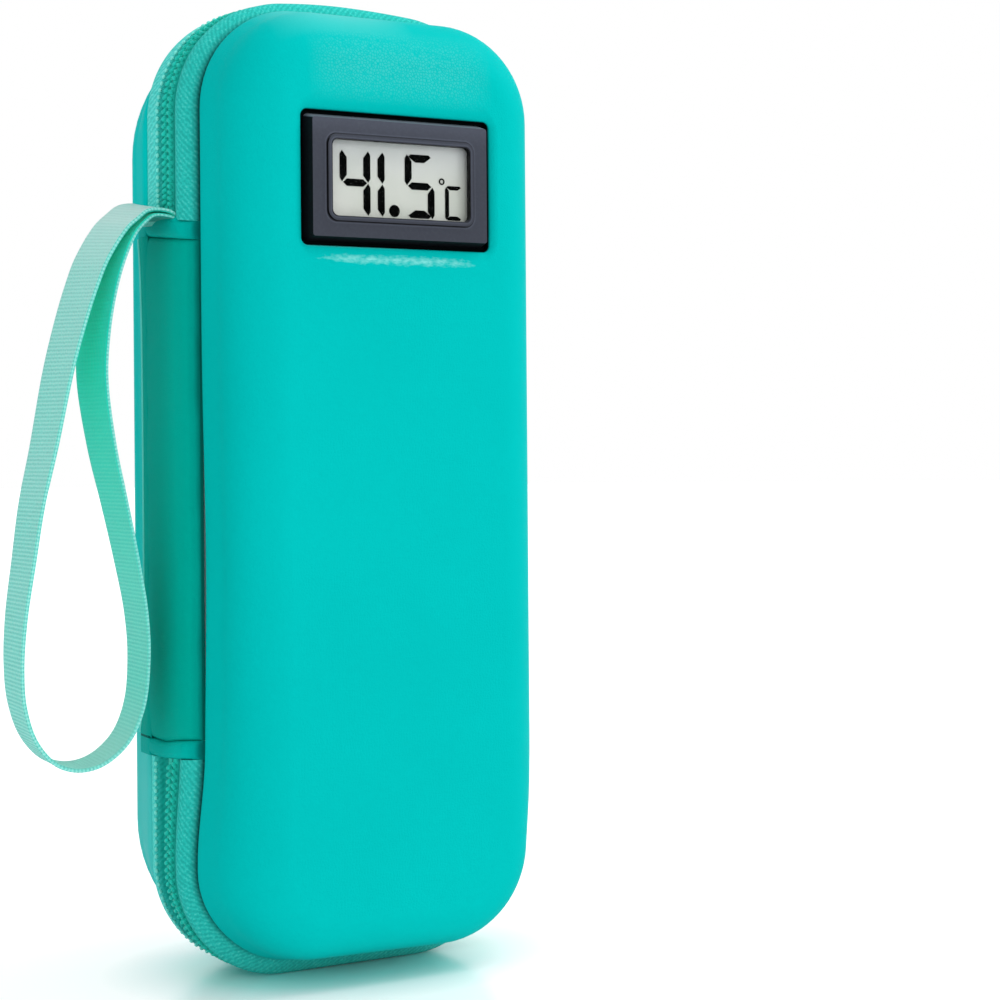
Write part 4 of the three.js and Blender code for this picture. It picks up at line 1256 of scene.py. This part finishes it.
for side, word, body, depth in ((-1, "front", "lid", FRONT_DEPTH), (1, "back", "base", BACK_DEPTH)):
    piece(f"{word}_cold_pack", pack(side, depth), f"pack_{word}", PACK, "pack_plastic", f"{word}_ice_pack")
    piece(f"{word}_band_cloth", band(side, depth), body, ELASTIC, "elastic", f"{word}_pack_band")


# Materials of the solids that stay

for material, names in (
    (LINING, ("back_liner", "front_liner", "spine_liner")),
    (BLACK, ("display_bezel", "display_rear_case", "battery_door")),
    (WINDOW, ("display_window",)),
    (LCD, ("lcd_panel",)),
    (DARK, ("display_connector", "probe_gland")),
    (BOARD, ("display_board",)),
    (STEEL, ("battery_cell_left", "battery_cell_right")),
    (METAL, ("upper_slider", "lower_slider", "upper_pull_tab", "lower_pull_tab")),
):
    for name in names:
        dress(nodes[name], material)


# Stage: pale floor, soft light and the camera at the photograph's angle
# The floor's painted shade and teal bounce and the softboxes are set in metres, the rest in millimetres and
# degrees

FLOOR_REACH = 0.13
FLOOR_PAINTED_BOUNCE_SHADE = (
    (0.07, (0.0, 0.02, 0.02, 1)), (0.15, (0.0, 0.12, 0.11, 1)), (0.21, (0.05, 0.2, 0.185, 1)),
    (0.26, (0.18, 0.27, 0.27, 1)), (0.34, (0.36, 0.38, 0.38, 1)), (1.0, grey(0.42)),
)
FLOOR_RADIUS, FLOOR_Z = 6000.0, -0.05
CAMERA_YAW, CAMERA_ROLL = math.radians(33.2), math.radians(0.45)
CAMERA_DISTANCE, CAMERA_RIGHT, CAMERA_HEIGHT = 566.0, 39.2, 123.5
SENSOR_W, FOCAL_PIXELS, PHOTO_PIXELS, SHIFT_UP = 36.0, 2370.0, 1000.0, -0.0605
LOW_Z, MIDDLE_Z = 0.11, 0.15
SOFTBOXES = (
    ("strip", (0.5, -0.15, 0.95), (0, 0, MIDDLE_Z), (0.35, 1.0), 4.5),
    ("front", (0.2, -1.3, 0.35), (0, 0, LOW_Z), (1.2, 0.9), 4.0),
    ("left_front", (-0.8, -0.9, 0.3), (0, 0, LOW_Z), (0.8, 0.8), 1.5),
)


def stage_floor():
    """White floor: it takes the shadow near the case, has painted shade and teal bounce there, and fades into
    the white backdrop.
    """
    m = Nodes("studio_floor")
    m.tree.nodes.remove(m.shader)
    mottle = m.noise(m.coords("Object"), 3.0, 2.0)
    diffuse = m.add("BsdfDiffuse", "BSDF", Color=m.ramp(mottle, ((0.3, grey(0.88)), (0.7, grey(0.9)))))
    away = m.add("VectorMath", "Value", m.coords("Object", scale=(0.75, 1.0, 1.0)), operation="LENGTH")
    # Painted shade and painted teal bounce light on the floor near the case
    tint = m.ramp(away.span(0.0, FLOOR_REACH), FLOOR_PAINTED_BOUNCE_SHADE)
    glow = m.add("Emission", "Emission", Color=tint, Strength=away.span(0.1, 0.8, 1.0, 1.5))
    sheet = m.add("MixShader", "Shader", 0.36, diffuse, m.add("BsdfGlossy", "BSDF", Roughness=0.2))
    lit = m.add("AddShader", "Shader", sheet, glow)
    m.shown(m.add("MixShader", "Shader", seen_rays(m.tree), diffuse, lit))
    rim = at_height(FLOOR_RADIUS * circle(48), FLOOR_Z)
    floor = make_object("studio_floor", (rim, [tuple(range(len(rim)))]), 40.0)
    dress(floor, m.material)


def world():
    """White to the camera and in mirrors, dimmer as a light on the object."""
    scene = bpy.context.scene
    scene.world = bpy.data.worlds.new("studio")
    scene.world.use_nodes = True
    tree = scene.world.node_tree
    strength = seen_rays(tree).span(0.0, 1.0, 0.6, 1.0)
    fill(tree, tree.nodes["Background"], (grey(1.0), strength), {})


def softbox(name, place, target, size, power):
    """A rectangle of light, places and sizes in metres."""
    light = bpy.data.lights.new(name, "AREA")
    light.shape = "RECTANGLE"
    light.size, light.size_y = size
    light.energy = power
    obj = bpy.data.objects.new(name, light)
    obj.location = place
    aim = Vector(target) - Vector(place)
    obj.rotation_euler = aim.to_track_quat("-Z", "Y").to_euler()
    bpy.context.scene.collection.objects.link(obj)


def camera():
    """The photograph's camera, as fitted to the display's flange and the case's outline."""
    lens = bpy.data.cameras.new("photo_camera")
    lens.sensor_width = SENSOR_W
    lens.lens = FOCAL_PIXELS / PHOTO_PIXELS * SENSOR_W
    lens.shift_y = SHIFT_UP
    lens.clip_start, lens.clip_end = 0.01, 50.0
    obj = bpy.data.objects.new("photo_camera", lens)
    turn = Matrix.Rotation(-CAMERA_YAW, 4, "Z")
    obj.location = turn @ Vector((CAMERA_RIGHT, -CAMERA_DISTANCE, CAMERA_HEIGHT)) * MM
    upright_turn = Matrix.Rotation(math.pi / 2, 4, "X") @ Matrix.Rotation(-CAMERA_ROLL, 4, "Z")
    obj.rotation_euler = (turn @ upright_turn).to_euler()
    bpy.context.scene.collection.objects.link(obj)
    bpy.context.scene.camera = obj


stage_floor()
world()
for box in SOFTBOXES:
    softbox(*box)
camera()
bpy.context.scene.view_settings.view_transform = "Standard"
